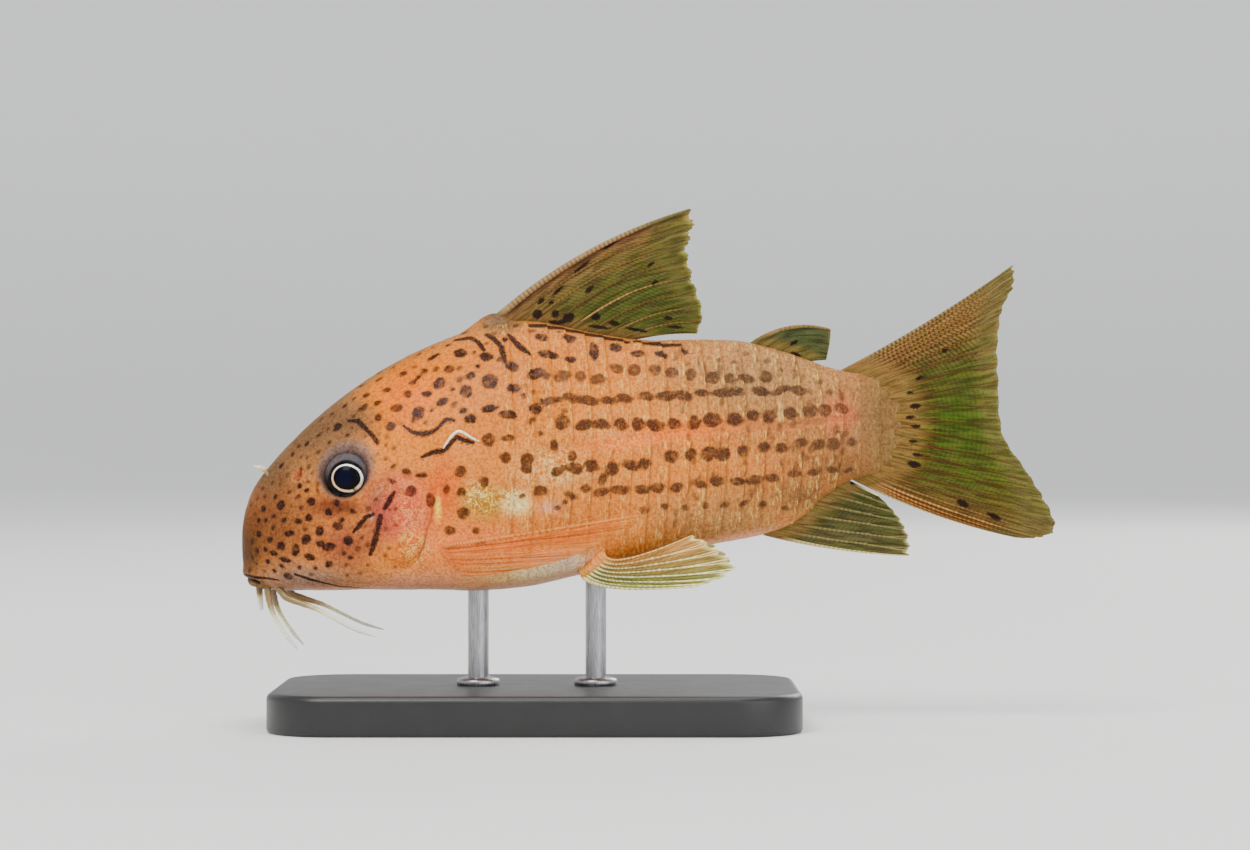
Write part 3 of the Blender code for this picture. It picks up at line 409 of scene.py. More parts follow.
def skin_points(s, angle, lift=0.0):
    """Points of the right side, raised along the skin's normal by lift."""
    nudge = 0.01
    behind, ahead = np.maximum(s - nudge, 0.0), s + nudge
    along = plain_skin(ahead, angle) - plain_skin(behind, angle)
    around = plain_skin(s, angle + nudge) - plain_skin(s, angle - nudge)
    normal = np.cross(along, around)
    normal /= np.maximum(np.linalg.norm(normal, axis=-1, keepdims=True), 1e-9)
    return plain_skin(s, angle) + normal * np.asarray(lift)[..., None]


def read_off(places):
    """Places (s, h) on the skin that the photo's camera sees at these places of the middle plane."""
    places = np.atleast_2d(np.asarray(places, float))
    angle = angle_at(places[:, 0], places[:, 1])
    nearness = plain_skin(places[:, 0], angle)[:, 1:2] / VIEW_DISTANCE
    return VIEW_AXIS + (places - VIEW_AXIS) * (1 - nearness)


def as_seen(points):
    """Each point's (s, h) where the photo's camera sees it against the middle plane."""
    size = (1 / (1 - np.abs(points[..., 1]) / VIEW_DISTANCE))[..., None]
    seen = VIEW_AXIS + (points[..., (0, 2)] - VIEW_AXIS) * size
    return seen[..., 0], seen[..., 1]


def fill_in(points, step=0.06):
    """A line's points with more put in between, no further apart than step."""
    points = np.asarray(points, float)
    rows = [points[:1]]
    for a, b in zip(points, points[1:]):
        count = max(1, math.ceil(np.linalg.norm(b - a) / step))
        rows.append(a + (b - a) * (np.arange(1, count + 1) / count)[:, None])
    return np.concatenate(rows)


def distance_to(points, line, reach):
    """Each point's distance from a line, or reach where it is further."""
    line = fill_in(line)
    near = np.all((points > line.min(0) - reach) & (points < line.max(0) + reach), axis=-1)
    gap = np.full(points.shape[:-1], float(reach))
    if near.any():
        close = points[near]
        best = np.full(len(close), float(reach))
        for place in line:
            best = np.minimum(best, np.linalg.norm(close - place, axis=-1))
        gap[near] = best
    return gap


def bell(gap, width):
    return np.exp(-(gap / width) ** 2)


def mouth_arc(size):
    """A line that follows the mouth round the front of the snout."""
    turn = np.radians(np.linspace(-MOUTH_HALF_ANGLE, MOUTH_HALF_ANGLE, 33))
    back = 1 - np.cos(turn)
    return np.stack([
        size["front"] + (size["corner"] - size["front"]) * back,
        size["half_width"] * np.sin(turn),
        size["level"] - size["droop"] * back], -1)


def wave_noise(points, scale, seed, octaves=4):
    """Soft, seamless noise of about -1 to 1 at each point: a sum of seeded waves."""
    rng = np.random.default_rng(seed)
    total = np.zeros(points.shape[:-1])
    for octave in range(octaves):
        for _ in range(5):
            way = rng.normal(size=3)
            way *= 2 ** octave / (scale * np.linalg.norm(way))
            total += np.sin(points @ way * 2 * math.pi / 2 + rng.uniform(0, 6.28)) / 2 ** octave
    return total / 4


class Shader:
    """A material's nodes. Its values do plain arithmetic, and node() adds any node."""

    def __init__(self, name, **finish):
        self.material = bpy.data.materials.new(name)
        self.material.use_nodes = True
        self.tree = self.material.node_tree
        self.surface = self.tree.nodes["Principled BSDF"]
        for socket, value in finish.items():
            self.feed(self.surface.inputs[socket.replace("_", " ")], value)

    def feed(self, socket, value):
        if isinstance(value, Value):
            self.tree.links.new(value.socket, socket)
        elif isinstance(value, (tuple, list)) and len(value) == 3 and socket.type == "RGBA":
            socket.default_value = (*value, 1.0)
        else:
            socket.default_value = value

    def node(self, kind, sockets, output=0, stops=None, **settings):
        """Adds a node: its settings first, then its sockets by name or number. Gives one of its outputs."""
        node = self.tree.nodes.new("ShaderNode" + kind)
        for setting, value in settings.items():
            setattr(node, setting, value)
        if stops:
            elements = node.color_ramp.elements
            while len(elements) < len(stops):
                elements.new(0.5)
            for element, (place, colour) in zip(elements, stops):
                element.position = place
                element.color = (*colour, 1.0)
        for socket, value in sockets.items():
            self.feed(node.inputs[socket], value)
        return Value(self, node.outputs[output])

    def attribute(self, name, output="Fac"):
        return self.node("Attribute", {}, output, attribute_name=name)

    def place(self):
        """The place on the model in millimetres."""
        metres = self.node("TexCoord", {}, "Object")
        return self.node("VectorMath", {0: metres, "Scale": 1 / MM}, operation="SCALE")

    def stretched(self, vector, factors):
        return self.node("VectorMath", {0: vector, 1: factors}, operation="MULTIPLY")

    def noise(self, vector, scale, detail=2.0, roughness=0.5, distortion=0.0):
        sockets = {"Vector": vector, "Scale": scale, "Detail": detail, "Roughness": roughness}
        sockets["Distortion"] = distortion
        return self.node("TexNoise", sockets)

    def cells(self, vector, scale, feature="F1"):
        return self.node("TexVoronoi", {"Vector": vector, "Scale": scale}, feature=feature)

    def step(self, value, low, high):
        """0 below low, 1 above high, and a smooth step between."""
        sockets = {"Value": value, "From Min": low, "From Max": high}
        return self.node("MapRange", sockets, interpolation_type="SMOOTHSTEP")

    def mix(self, share, first, second, blend="MIX"):
        """A colour between two, or the second laid on the first by another way of blending."""
        return self.node("Mix", {0: share, 6: first, 7: second}, 2, data_type="RGBA", blend_type=blend)

    def ramp(self, value, stops):
        return self.node("ValToRGB", {"Fac": value}, stops=stops)

    def bump(self, height, depth, strength=1.0):
        """Sets the surface's normal from a height of 0 to 1 that stands for depth millimetres."""
        sockets = {"Height": height, "Distance": depth * MM, "Strength": strength}
        self.feed(self.surface.inputs["Normal"], self.node("Bump", sockets))

    def set(self, **values):
        for socket, value in values.items():
            self.feed(self.surface.inputs[socket.replace("_", " ")], value)
        return self.material


class Value:
    """A number that a node gives. Arithmetic on it adds the Math nodes."""

    def __init__(self, shader, socket):
        self.shader = shader
        self.socket = socket

    def math(self, operation, *others, swap=False):
        values = [self, *others]
        if swap:
            values.reverse()
        return self.shader.node("Math", dict(enumerate(values)), operation=operation)

    def __add__(self, other):
        return self.math("ADD", other)

    def __radd__(self, other):
        return self.math("ADD", other)

    def __sub__(self, other):
        return self.math("SUBTRACT", other)

    def __rsub__(self, other):
        return self.math("SUBTRACT", other, swap=True)

    def __mul__(self, other):
        return self.math("MULTIPLY", other)

    def __rmul__(self, other):
        return self.math("MULTIPLY", other)

    def __truediv__(self, other):
        return self.math("DIVIDE", other)

    def __pow__(self, other):
        return self.math("POWER", other)

    def sine(self):
        return self.math("SINE")

    def size(self):
        return self.math("ABSOLUTE")

    def at_most(self, other):
        return self.math("MINIMUM", other)

    def at_least(self, other):
        return self.math("MAXIMUM", other)


def new_object(name, mesh):
    obj = bpy.data.objects.new(name, mesh)
    bpy.context.scene.collection.objects.link(obj)
    return obj


def make_mesh(name, points, faces, materials, fields=None, outwards=False):
    """A smooth mesh from points (s, y, h), with its fields of numbers or colours kept on its points."""
    mesh = bpy.data.meshes.new(name)
    mesh.from_pydata(world(points).tolist(), [], [tuple(int(i) for i in face) for face in faces])
    mesh.validate()
    if outwards:
        bm = bmesh.new()
        bm.from_mesh(mesh)
        bmesh.ops.recalc_face_normals(bm, faces=bm.faces)
        bm.to_mesh(mesh)
        bm.free()
    for field, values in (fields or {}).items():
        keep_field(mesh, field, values)
    for material in materials:
        mesh.materials.append(material)
    mesh.shade_smooth()
    return mesh


def keep_field(mesh, field, values):
    values = np.asarray(values, np.float32)
    if values.ndim == 2:
        values = np.concatenate([values, np.ones((len(values), 1), np.float32)], 1)
        mesh.attributes.new(field, "FLOAT_COLOR", "POINT").data.foreach_set("color", values.ravel())
    else:
        mesh.attributes.new(field, "FLOAT", "POINT").data.foreach_set("value", values)


def ring_faces(rows, columns, closed=True):
    """Faces of a grid whose points run row by row. A closed grid joins its last column to its first."""
    row = np.arange(rows - 1)[:, None]
    column = np.arange(columns if closed else columns - 1)[None, :]
    after = (column + 1) % columns
    corners = [row * columns + column, row * columns + after, (row + 1) * columns + after,
               (row + 1) * columns + column]
    return np.stack(np.broadcast_arrays(*corners), -1).reshape(-1, 4)


class NodeTree:
    """A Geometry Nodes tree being built."""

    def __init__(self, name):
        self.tree = bpy.data.node_groups.new(name, "GeometryNodeTree")
        self.tree.interface.new_socket("Geometry", in_out="INPUT", socket_type="NodeSocketGeometry")
        self.tree.interface.new_socket("Geometry", in_out="OUTPUT", socket_type="NodeSocketGeometry")
        self.inlet = self.tree.nodes.new("NodeGroupInput")
        self.outlet = self.tree.nodes.new("NodeGroupOutput")

    def input(self, name, kind, default=None, lowest=None):
        """Adds a named input and gives its socket inside the tree."""
        socket = self.tree.interface.new_socket(name, in_out="INPUT", socket_type="NodeSocket" + kind)
        if default is not None:
            socket.default_value = default
        if lowest is not None:
            socket.min_value = lowest
        return self.inlet.outputs[name]

    def node(self, kind, sockets, output=0, **settings):
        node = self.tree.nodes.new(kind)
        for setting, value in settings.items():
            setattr(node, setting, value)
        for socket, value in sockets.items():
            if isinstance(value, bpy.types.NodeSocket):
                self.tree.links.new(value, node.inputs[socket])
            else:
                node.inputs[socket].default_value = value
        return node.outputs[output]

    def finish(self, geometry, material):
        """Ends the tree: smooth faces, real geometry and the piece's material."""
        smooth_faces = self.node("GeometryNodeSetShadeSmooth", {"Geometry": geometry})
        real = self.node("GeometryNodeRealizeInstances", {"Geometry": smooth_faces})
        done = self.node("GeometryNodeSetMaterial", {"Geometry": real, "Material": material})
        self.tree.links.new(done, self.outlet.inputs["Geometry"])
        return self.tree


def tube_tree():
    """Sweeps a round tube along every line of a mesh, as thick as the line's own field called thickness."""
    tree = NodeTree("swept tube")
    sides = tree.input("Sides", "Int", 6, 3)
    material = tree.input("Material", "Material")
    curve = tree.node("GeometryNodeMeshToCurve", {"Mesh": tree.inlet.outputs["Geometry"]})
    circle = tree.node("GeometryNodeCurvePrimitiveCircle", {"Resolution": sides, "Radius": 1.0})
    thickness = tree.node("GeometryNodeInputNamedAttribute", {"Name": "thickness"}, data_type="FLOAT")
    tube = tree.node("GeometryNodeCurveToMesh", {
        "Curve": curve, "Profile Curve": circle, "Scale": thickness, "Fill Caps": True})
    return tree.finish(tube, material)


def spike_tree():
    """Sets a small cone on every point of a mesh, turned along the point's own field called way."""
    tree = NodeTree("row of spikes")
    size = tree.input("Size", "Float", 0.0002, 0.0)
    material = tree.input("Material", "Material")
    cone = tree.node("GeometryNodeMeshCone", {
        "Vertices": 7, "Side Segments": 1, "Radius Top": 0.08, "Radius Bottom": 0.42, "Depth": 1.0})
    way = tree.node("GeometryNodeInputNamedAttribute", {"Name": "way"}, data_type="FLOAT_VECTOR")
    turn = tree.node("FunctionNodeAlignRotationToVector", {"Vector": way}, axis="Z")
    spikes = tree.node("GeometryNodeInstanceOnPoints", {
        "Points": tree.inlet.outputs["Geometry"], "Instance": cone, "Rotation": turn, "Scale": size})
    return tree.finish(spikes, material)


def run_tree(obj, tree, **values):
    """Runs a Geometry Nodes tree on an object and keeps the result as its plain mesh."""
    modifier = obj.modifiers.new(tree.name, "NODES")
    modifier.node_group = tree
    for item in tree.interface.items_tree:
        if item.item_type == "SOCKET" and item.in_out == "INPUT" and item.name in values:
            modifier[item.identifier] = values[item.name]
    bpy.context.view_layer.update()
    graph = bpy.context.evaluated_depsgraph_get()
    mesh = bpy.data.meshes.new_from_object(
        obj.evaluated_get(graph), preserve_all_data_layers=True, depsgraph=graph)
    obj.modifiers.remove(modifier)
    obj.data = mesh
    return obj


def swept_lines(name, lines, sides, material):
    """An object of round tubes: each line has points (s, y, h), a thickness in mm and other fields."""
    points = np.concatenate([line["points"] for line in lines])
    edges, start = [], 0
    for line in lines:
        count = len(line["points"])
        edges += [(start + i, start + i + 1) for i in range(count - 1)]
        start += count
    mesh = bpy.data.meshes.new(name)
    mesh.from_pydata(world(points).tolist(), edges, [])
    for field in lines[0]:
        if field != "points":
            values = np.concatenate([line[field] for line in lines])
            keep_field(mesh, field, values * MM if field == "thickness" else values)
    return run_tree(new_object(name, mesh), tube_tree(), Sides=sides, Material=material)


def put_on_body(obj, slot, *nodes):
    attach(obj, "root")
    if nodes:
        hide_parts(*nodes)
    return obj


def skin_rows():
    """The rows' distances along the flank's seam: close at the lips, and fitted to the plates."""
    snout = np.linspace(0.12, math.sqrt(SNOUT_END), SNOUT_ROWS) ** 2
    head = np.arange(SNOUT_END + HEAD_STEP, PLATE_START - HEAD_STEP / 2, HEAD_STEP)
    plates = [PLATE_START + PLATE_PITCH * (n + step) for n in range(PLATES) for step in PLATE_STEPS]
    end = FLESH_END - 0.5 * np.array([0.75, 0.5, 0.3, 0.15, 0.05, 0.012])
    return np.concatenate([snout, head, [q for q in plates if q < end[0] - 0.03], end])


def skin_grid():
    """The plain skin as rows of points, with each point's distance along the seam and its angle."""
    even = np.linspace(0, 2 * math.pi, COLUMNS, endpoint=False)
    angle = (even + SIDE_CROWDING * np.sin(2 * even))[None, :]
    seam_distance = skin_rows()[:, None]
    degrees = np.degrees(np.minimum(angle, 2 * math.pi - angle))
    slant = ease((seam_distance - 11) / 8) * (1 - ease((seam_distance - 44) / 5))
    s = seam_distance - PLATE_SLANT * slant * np.abs(degrees - FLANK_SEAM) / FLANK_SEAM
    return plain_skin(s, angle), np.broadcast_to(seam_distance, s.shape), np.broadcast_to(degrees, s.shape)


def grid_normals(points):
    """Outward normals of a grid that is closed across its columns."""
    along = np.gradient(points, axis=0)
    around = np.roll(points, -1, axis=1) - np.roll(points, 1, axis=1)
    normal = np.cross(along, around)
    return normal / np.maximum(np.linalg.norm(normal, axis=-1, keepdims=True), 1e-9)


def plate_phase(seam_distance):
    """How far along its plate each point is, from 0 at the front to 1 at the free edge, or 0 off the plates."""
    run = (seam_distance - PLATE_START) / PLATE_PITCH
    return np.where((run >= 0) & (run < PLATES), run % 1.0, 0.0)


def plate_cover(s, degrees):
    """1 on a plate, 0 on the flank's seam, along the back and on the bare belly."""
    belly_edge = 152 + 24 * ease((s - 39.0) / 4.0)
    seam = ease((np.abs(degrees - FLANK_SEAM) - 1.0) / 3.0)
    return seam * ease((degrees - 6) / 8) * ease((belly_edge - degrees) / 8)


def head_relief(points):
    """How far the head's forms stand out of the plain skin: lips, mouth, eye rims, nostrils, gill covers."""
    lift = np.zeros(points.shape[:-1])
    lift += 0.2 * bell(distance_to(points, mouth_arc(UPPER_LIP), 1.6), 0.5)
    lift += 0.26 * bell(distance_to(points, mouth_arc(LOWER_LIP), 1.4), 0.36)
    lift -= 0.42 * bell(distance_to(points, mouth_arc(MOUTH_LINE), 0.9), 0.13)
    for side in (-1, 1):
        eye = on_side([EYE_AT], side)
        gap = distance_to(points, eye, 4.0)
        lift -= 0.85 * ease((1.8 - gap) / 0.35)
        lift += 0.13 * bell(gap - 2.1, 0.22) + 0.12 * ease((3.2 - gap) / 1.0)
        nostril = on_side([NOSTRIL_AT], side)
        span = (points - nostril[0]) * (1.0, 0.77, 0.77)
        gap = np.linalg.norm(span, axis=-1)
        lift += 0.12 * bell(gap - 0.48, 0.13) - 0.5 * ease((0.38 - gap) / 0.22)
        on_this_side = ease(points[..., 1] * side / 1.0)
        across = (points[..., 0] - GILL_COVER_AT[0]) / GILL_COVER_REACH[0]
        up = (points[..., 2] - GILL_COVER_AT[1]) / GILL_COVER_REACH[1]
        spread = np.hypot(across, up)
        cover = 1 - ease((spread - 0.8) / 0.24)
        lift += on_this_side * cover * (0.16 + 0.1 * across)
        lift -= 0.1 * on_this_side * bell(spread - 1.08, 0.06) * ease((across + 0.1) / 0.5)
        for _, _, line in DARK_LINES[:FURROWS]:
            gap = distance_to(points, on_side(read_off(fill_in(line, 0.5)), side), 1.0)
            lift -= 0.07 * bell(gap, 0.26)
        cheek = np.hypot((points[..., 0] - 8.6) / 2.6, (points[..., 2] - 3.2) / 1.9)
        lift += 0.1 * on_this_side * (1 - ease(cheek))
        brow = distance_to(points, on_side([(5.8, 10.3), (7.4, 11.4), (9.2, 11.3), (10.3, 10.2)], side), 1.2)
        lift += 0.09 * bell(brow, 0.45)
    hump = (points - (19.4, 0.0, top_at(19.4))) / (1.7, 1.0, 1.8)
    hump[..., 0] *= np.where(hump[..., 0] < 0, 0.5, 1.0)
    lift += 0.8 * (1 - ease(np.linalg.norm(hump, axis=-1)))
    return lift


def end_relief(points):
    """The feet of the tail fin's rays, as ridges that fan out over the rounded end of the flesh."""
    s, h = points[..., 0], points[..., 2]
    way = np.arctan2(h - END_LEVEL, s - 44.5)
    reach = np.hypot(s - 44.5, h - END_LEVEL)
    return 0.045 * np.cos(way * 26) * ease((reach - 3.6) / 1.6) * ease((s - 46.0) / 1.5)


def marks_of(side, rng):
    """All the round marks of one side, as (s, h, half length, half height, tilt, tone)."""
    marks = [(*spot, tone) for group, tone in SPOT_GROUPS for spot in group]
    for first, last, line, length, height, tone in SPOT_ROWS:
        count = round((last - first) / PLATE_PITCH)
        for n in range(count + 1):
            s = first + (last - first) * n / count + rng.normal(0, 0.15)
            h = np.interp(s, *zip(*line)) + rng.normal(0, 0.08)
            fade = 1 - 0.16 * float(ease((s - 38) / 9))
            grow = rng.uniform(0.85, 1.35) * fade
            rise = height * rng.uniform(0.9, 1.3) * fade
            marks.append((s, h, length * grow, rise, rng.normal(0, 12), tone * fade))
            if rng.random() < 0.5:
                marks.append((s + length * grow, h + rng.normal(0, 0.12), 0.2, 0.16, 0, tone * 0.8))
    for _ in range(120):
        s = rng.uniform(33, 50)
        h = rng.uniform(bottom_at(s) + 2.0, top_at(s) - 0.5)
        marks.append((s, h, rng.uniform(0.08, 0.2), rng.uniform(0.12, 0.4), rng.normal(0, 10), 0.55))
    for _ in range(34):
        s = rng.uniform(45.5, 50.3)
        h = rng.uniform(bottom_at(s) + 1.0, top_at(s) - 1.0)
        marks.append((s, h, rng.uniform(0.1, 0.2), rng.uniform(0.1, 0.24), rng.normal(0, 20), 0.75))
    for tries, front, rear, low, small, large, tone in SMALL_MARKS:
        for _ in range(tries):
            s = rng.uniform(front, rear)
            h = rng.uniform(low, top_at(s) - 0.8)
            clear = min(math.hypot(s - mark[0], h - mark[1]) - mark[2] for mark in marks)
            size = rng.uniform(small, large)
            if clear > size + 0.2 and math.hypot(s - EYE_AT[0], h - EYE_AT[1]) > 2.5:
                marks.append((s, h, size, size * rng.uniform(0.7, 1.1), rng.normal(0, 30), tone))
    if side > 0:
        marks = [(s + rng.normal(0, RIGHT_SIDE_SHIFT), h + rng.normal(0, RIGHT_SIDE_SHIFT * 0.6),
                  a * rng.uniform(0.8, 1.2), b * rng.uniform(0.8, 1.2), -tilt, tone)
                 for s, h, a, b, tilt, tone in marks]
    return [(s, h, a * MARK_GROWTH, b * MARK_GROWTH, tilt, tone) for s, h, a, b, tilt, tone in marks]


def crown_marks(rng):
    """Marks over the top of the head and back, as (place, half length, half height)."""
    marks = []
    for _ in range(900):
        s, turn = rng.uniform(1.2, 36), rng.uniform(-24, 24)
        size = rng.uniform(0.16, 0.36) * (0.75 if s < 8 else 1.0)
        place = plain_skin(s, math.radians(turn))
        if all(np.linalg.norm(place - other[0]) > 1.0 + 0.9 * size for other in marks):
            marks.append((place, size, size * rng.uniform(0.6, 1.0)))
    return marks


def mark_fields(points):
    """Each point's depth inside the nearest mark in mm, and that mark's tone."""
    rng = np.random.default_rng(SEED)
    depth = np.full(points.shape[:-1], -0.5)
    tone = np.zeros(points.shape[:-1])

    def lay(inside, new_depth, strength):
        better = new_depth > depth[inside]
        depth[inside] = np.where(better, new_depth, depth[inside])
        tone[inside] = np.where(better, strength, tone[inside])

    def lay_mark(centre, length, height, tilt, strength):
        reach = max(length, height) + 0.5
        inside = np.all(np.abs(points - centre) < (reach, 3 * reach, reach + 0.3), axis=-1)
        inside &= np.linalg.norm(points - centre, axis=-1) < reach + 0.2
        gap = points[inside] - centre
        up = np.copysign(np.hypot(gap[:, 1], gap[:, 2]), gap[:, 2])
        turn = math.radians(tilt)
        u = gap[:, 0] * math.cos(turn) + up * math.sin(turn)
        v = up * math.cos(turn) - gap[:, 0] * math.sin(turn)
        lay(inside, (1 - np.hypot(u / length, v / height)) * math.sqrt(length * height), strength)

    for side in (-1, 1):
        marks = marks_of(side, rng)
        centres = on_side(read_off([(s, min(h, top_at(s) - 0.05)) for s, h, *_ in marks]), side)
        for centre, (_, _, length, height, tilt, strength) in zip(centres, marks):
            lay_mark(centre, length, height, tilt, strength)
    taken = depth > -0.3
    for centre, length, height in crown_marks(rng):
        nearest = np.argmin(np.linalg.norm(points - centre, axis=-1))
        if not taken.ravel()[nearest]:
            lay_mark(centre, length, height, rng.normal(0, 25), 0.8)
    return depth, tone


def line_fields(points, lines, reach=0.45):
    """Each point's signed distance across the nearest line, in its half widths, and how near the line is."""
    across = np.full(points.shape[:-1], 3.0)
    near = np.zeros(points.shape[:-1])
    for side in (-1, 1):
        for width, tone, line in lines:
            path = on_side(read_off(fill_in(line, 0.1)), side)
            inside = np.all((points > path.min(0) - reach) & (points < path.max(0) + reach), axis=-1)
            close = points[inside]
            spans = np.linalg.norm(close[:, None] - path[None], axis=-1)
            nearest = np.argmin(spans, axis=1)
            gap = spans[np.arange(len(close)), nearest]
            run = np.gradient(path, axis=0)
            run = (run / np.linalg.norm(run, axis=-1, keepdims=True))[nearest]
            offset = close - path[nearest]
            aside = offset - (offset * run).sum(-1)[:, None] * run
            turn = np.sign(run[:, 0] * offset[:, 2] - run[:, 2] * offset[:, 0])
            share = nearest / (len(path) - 1)
            taper = 0.66 + 0.34 * np.sin(np.pi * share) ** 0.6
            half = 1.15 * width * taper * (1 + 0.16 * np.sin(share * 9 + 60 * width))
            nearness = (1 - gap / reach) * tone
            better = nearness > near[inside]
            across[inside] = np.where(better, turn * np.linalg.norm(aside, axis=-1) / half, across[inside])
            near[inside] = np.where(better, nearness, near[inside])
    return across, near


def skin_colours(points, degrees):
    """The broad colour of every point, before its marks and grain."""
    s, y, h = points[..., 0], points[..., 1], points[..., 2]
    drift = wave_noise(points, 5.0, SEED + 1)
    colour = np.broadcast_to(np.array(BODY_COLOUR, float), points.shape).copy()

    def wash(share, shade):
        colour[:] += (np.array(shade, float) - colour) * np.clip(share, 0, 1)[..., None]

    wash(0.7 * bell(degrees - FLANK_SEAM + 1.0, 6.0) * ease((s - 24) / 6) * ease((48 - s) / 5), SEAM_COLOUR)
    seen_s, seen_h = as_seen(points)
    for _, at_s, at_h, half_length, half_height, shade, strength in WASHES:
        spread = np.hypot((seen_s - at_s) / half_length, (seen_h - at_h) / half_height) * (1 + 0.12 * drift)
        wash(strength * (1 - ease(spread)), shade)
    start, reach, shade = OLIVE_END
    wash(0.9 * ease((s + 0.5 * drift - start) / reach), shade)
    # Lightens the underside: its pale colour, and painted light against the shade beneath.
    wash(0.85 * ease((degrees - 138) / 22) * ease((s - 3.5) / 2) * ease((44 - s) / 6), PALE_BELLY_AND_PAINTED_LIGHT)
    wash(0.8 * (1 - ease((degrees - 4) / 26)) * (0.45 + 0.55 * ease((16 - s) / 10)), RIDGE_COLOUR)
    wash(0.8 * (1 - ease((degrees - 6) / 12)) * bell(s - 19.6, 1.0), (140, 112, 84))
    for side in (-1, 1):
        gap = distance_to(points, on_side([ORBIT_AT], side), 5.0) + 0.12 * drift
        above = ease((h - ORBIT_AT[1] + 1.2) / 2.6)
        wash((0.45 + 0.45 * above) * (1 - ease((gap - 2.0) / (0.4 + 0.45 * above))), ORBIT_COLOUR)
        wash((0.85 - 0.65 * above) * (1 - ease((gap - 1.75) / 0.4)), ORBIT_SHADE)
        flare = distance_to(points, on_side([NOSTRIL_AT], side), 3.0)
        wash(0.7 * (1 - ease((flare - 0.3) / 0.5)), (206, 132, 104))
    lip = distance_to(points, mouth_arc(LOWER_LIP), 2.0)
    wash(0.85 * (1 - ease((lip - 0.3) / 0.8)), (138, 112, 76))
    # Painted shade: a dark line in the cleft between the lips.
    cleft = distance_to(points, mouth_arc(MOUTH_LINE), 1.0)
    wash(0.9 * (1 - ease((cleft - 0.04) / 0.14)), (44, 22, 10))
    return colour


# Where the skin glitters: (s, h, half length, half height, strength).
GLEAMS = [
    (18.3, 7.0, 1.8, 2.1, 1.0), (20.8, 6.9, 1.8, 1.5, 0.9), (23.6, 9.4, 4.4, 2.2, 0.5),
    (13.1, 3.3, 1.7, 2.0, 0.7), (12.9, 6.3, 1.8, 2.6, 0.45), (29.0, 12.0, 5.5, 2.2, 0.22),
    (10.9, 7.4, 1.3, 1.4, 0.2), (4.7, 8.6, 1.5, 1.3, 0.14),
]


def make_skin(settings):
    """One seamless skin for the head, trunk and tail."""
    plain, seam_distance, degrees = skin_grid()
    plain[..., 1] *= 1 - 0.82 * ease((plain[..., 0] - 45.2) / 5.4)
    normals = grid_normals(plain)
    s = plain[..., 0]
    phase = plate_phase(seam_distance)
    cover = plate_cover(s, degrees) * (1 - 0.7 * ease((s - 44) / 4))
    lift = PLATE_LIFT * cover * phase**1.3
    lift -= 0.05 * bell(degrees - FLANK_SEAM, 2.5) * ease((s - 18) / 4) * ease((50 - s) / 2)
    lift += head_relief(plain) + end_relief(plain)
    lift += 0.035 * wave_noise(plain, 2.2, SEED + 2)
    points = plain + normals * lift[..., None]
    depth, tone = mark_fields(plain)
    line_across, line_near = line_fields(plain, DARK_LINES)
    on_plate = (seam_distance > PLATE_START) & (seam_distance < PLATE_START + PLATES * PLATE_PITCH)
    streak = (0.3 + 0.7 * ease((phase - 0.2) / 0.6)) * cover * on_plate
    # Painted shadow: a dark band at the front of each plate, in the crease under the raised free edge of the plate
    # ahead.
    plate_edge_shadow = (1 - ease(phase / 0.14)) * cover * on_plate
    gleam = np.zeros(s.shape)
    seen_s, seen_h = as_seen(plain)
    for at_s, at_h, half_length, half_height, strength in GLEAMS:
        spread = np.hypot((seen_s - at_s) / half_length, (seen_h - at_h) / half_height)
        gleam = np.maximum(gleam, strength * (1 - ease((spread - 0.3) / 0.7)))
    colour = painted(skin_colours(plain, degrees))

    rows, columns = s.shape
    snout, end = [[0.0, 0.0, back_line(0.0)]], [[FLESH_END, 0.0, END_LEVEL]]
    grid_points = np.concatenate([points.reshape(-1, 3), snout, end])
    faces = [tuple(face) for face in ring_faces(rows, columns)]
    nose, tail = rows * columns, rows * columns + 1
    last = (rows - 1) * columns
    for i in range(columns):
        j = (i + 1) % columns
        faces += [(nose, j, i), (tail, last + i, last + j)]

    def field(values):
        return np.concatenate([values.reshape(-1, *values.shape[2:]), values[0, :1], values[-1, :1]])

    fields = {"tint": field(colour), "mark": field(depth), "tone": field(tone * settings.mark_strength),
              "streak": field(streak), "plate_edge_shadow": field(plate_edge_shadow), "gleam": field(gleam),
              "line_across": field(line_across), "line_near": field(line_near)}
    mesh = make_mesh("corydoras_skin", grid_points, faces, [skin_material(settings)], fields, outwards=True)
    put_on_body(new_object("corydoras_skin", mesh), "skin", "head", "trunk", "tail")
    make_pearly_lines()


def make_pearly_lines():
    """The pearly lines behind the gill covers, as fine ridges half sunk in the skin."""
    shader = Shader("pearly line", Metallic=0.25, Roughness=0.25, Coat_Weight=0.5, Coat_Roughness=0.1)
    grain = shader.noise(shader.place(), 5.0, 3.0)
    colour = shader.mix(shader.step(grain, 0.4, 0.7), paint(250, 244, 228), paint(222, 196, 160))
    shader.bump(grain, 0.03, 0.6)
    material = shader.set(Base_Color=colour)
    lines = []
    for side in (-1, 1):
        for width, line in PEARLY_LINES:
            count = max(10, round(8 * math.dist(line[0], line[-1])))
            places = curved([(s, 0.0, h) for s, h in line], count)[:, (0, 2)]
            along = np.linspace(0, 1, count)
            size = width * np.sin(np.pi * np.clip(along, 0.03, 0.97)) ** 0.4
            lines.append({"points": on_side(read_off(places), side, 0.0), "thickness": size})
    put_on_body(swept_lines("pearly_lines", lines, 10, material), "skin")


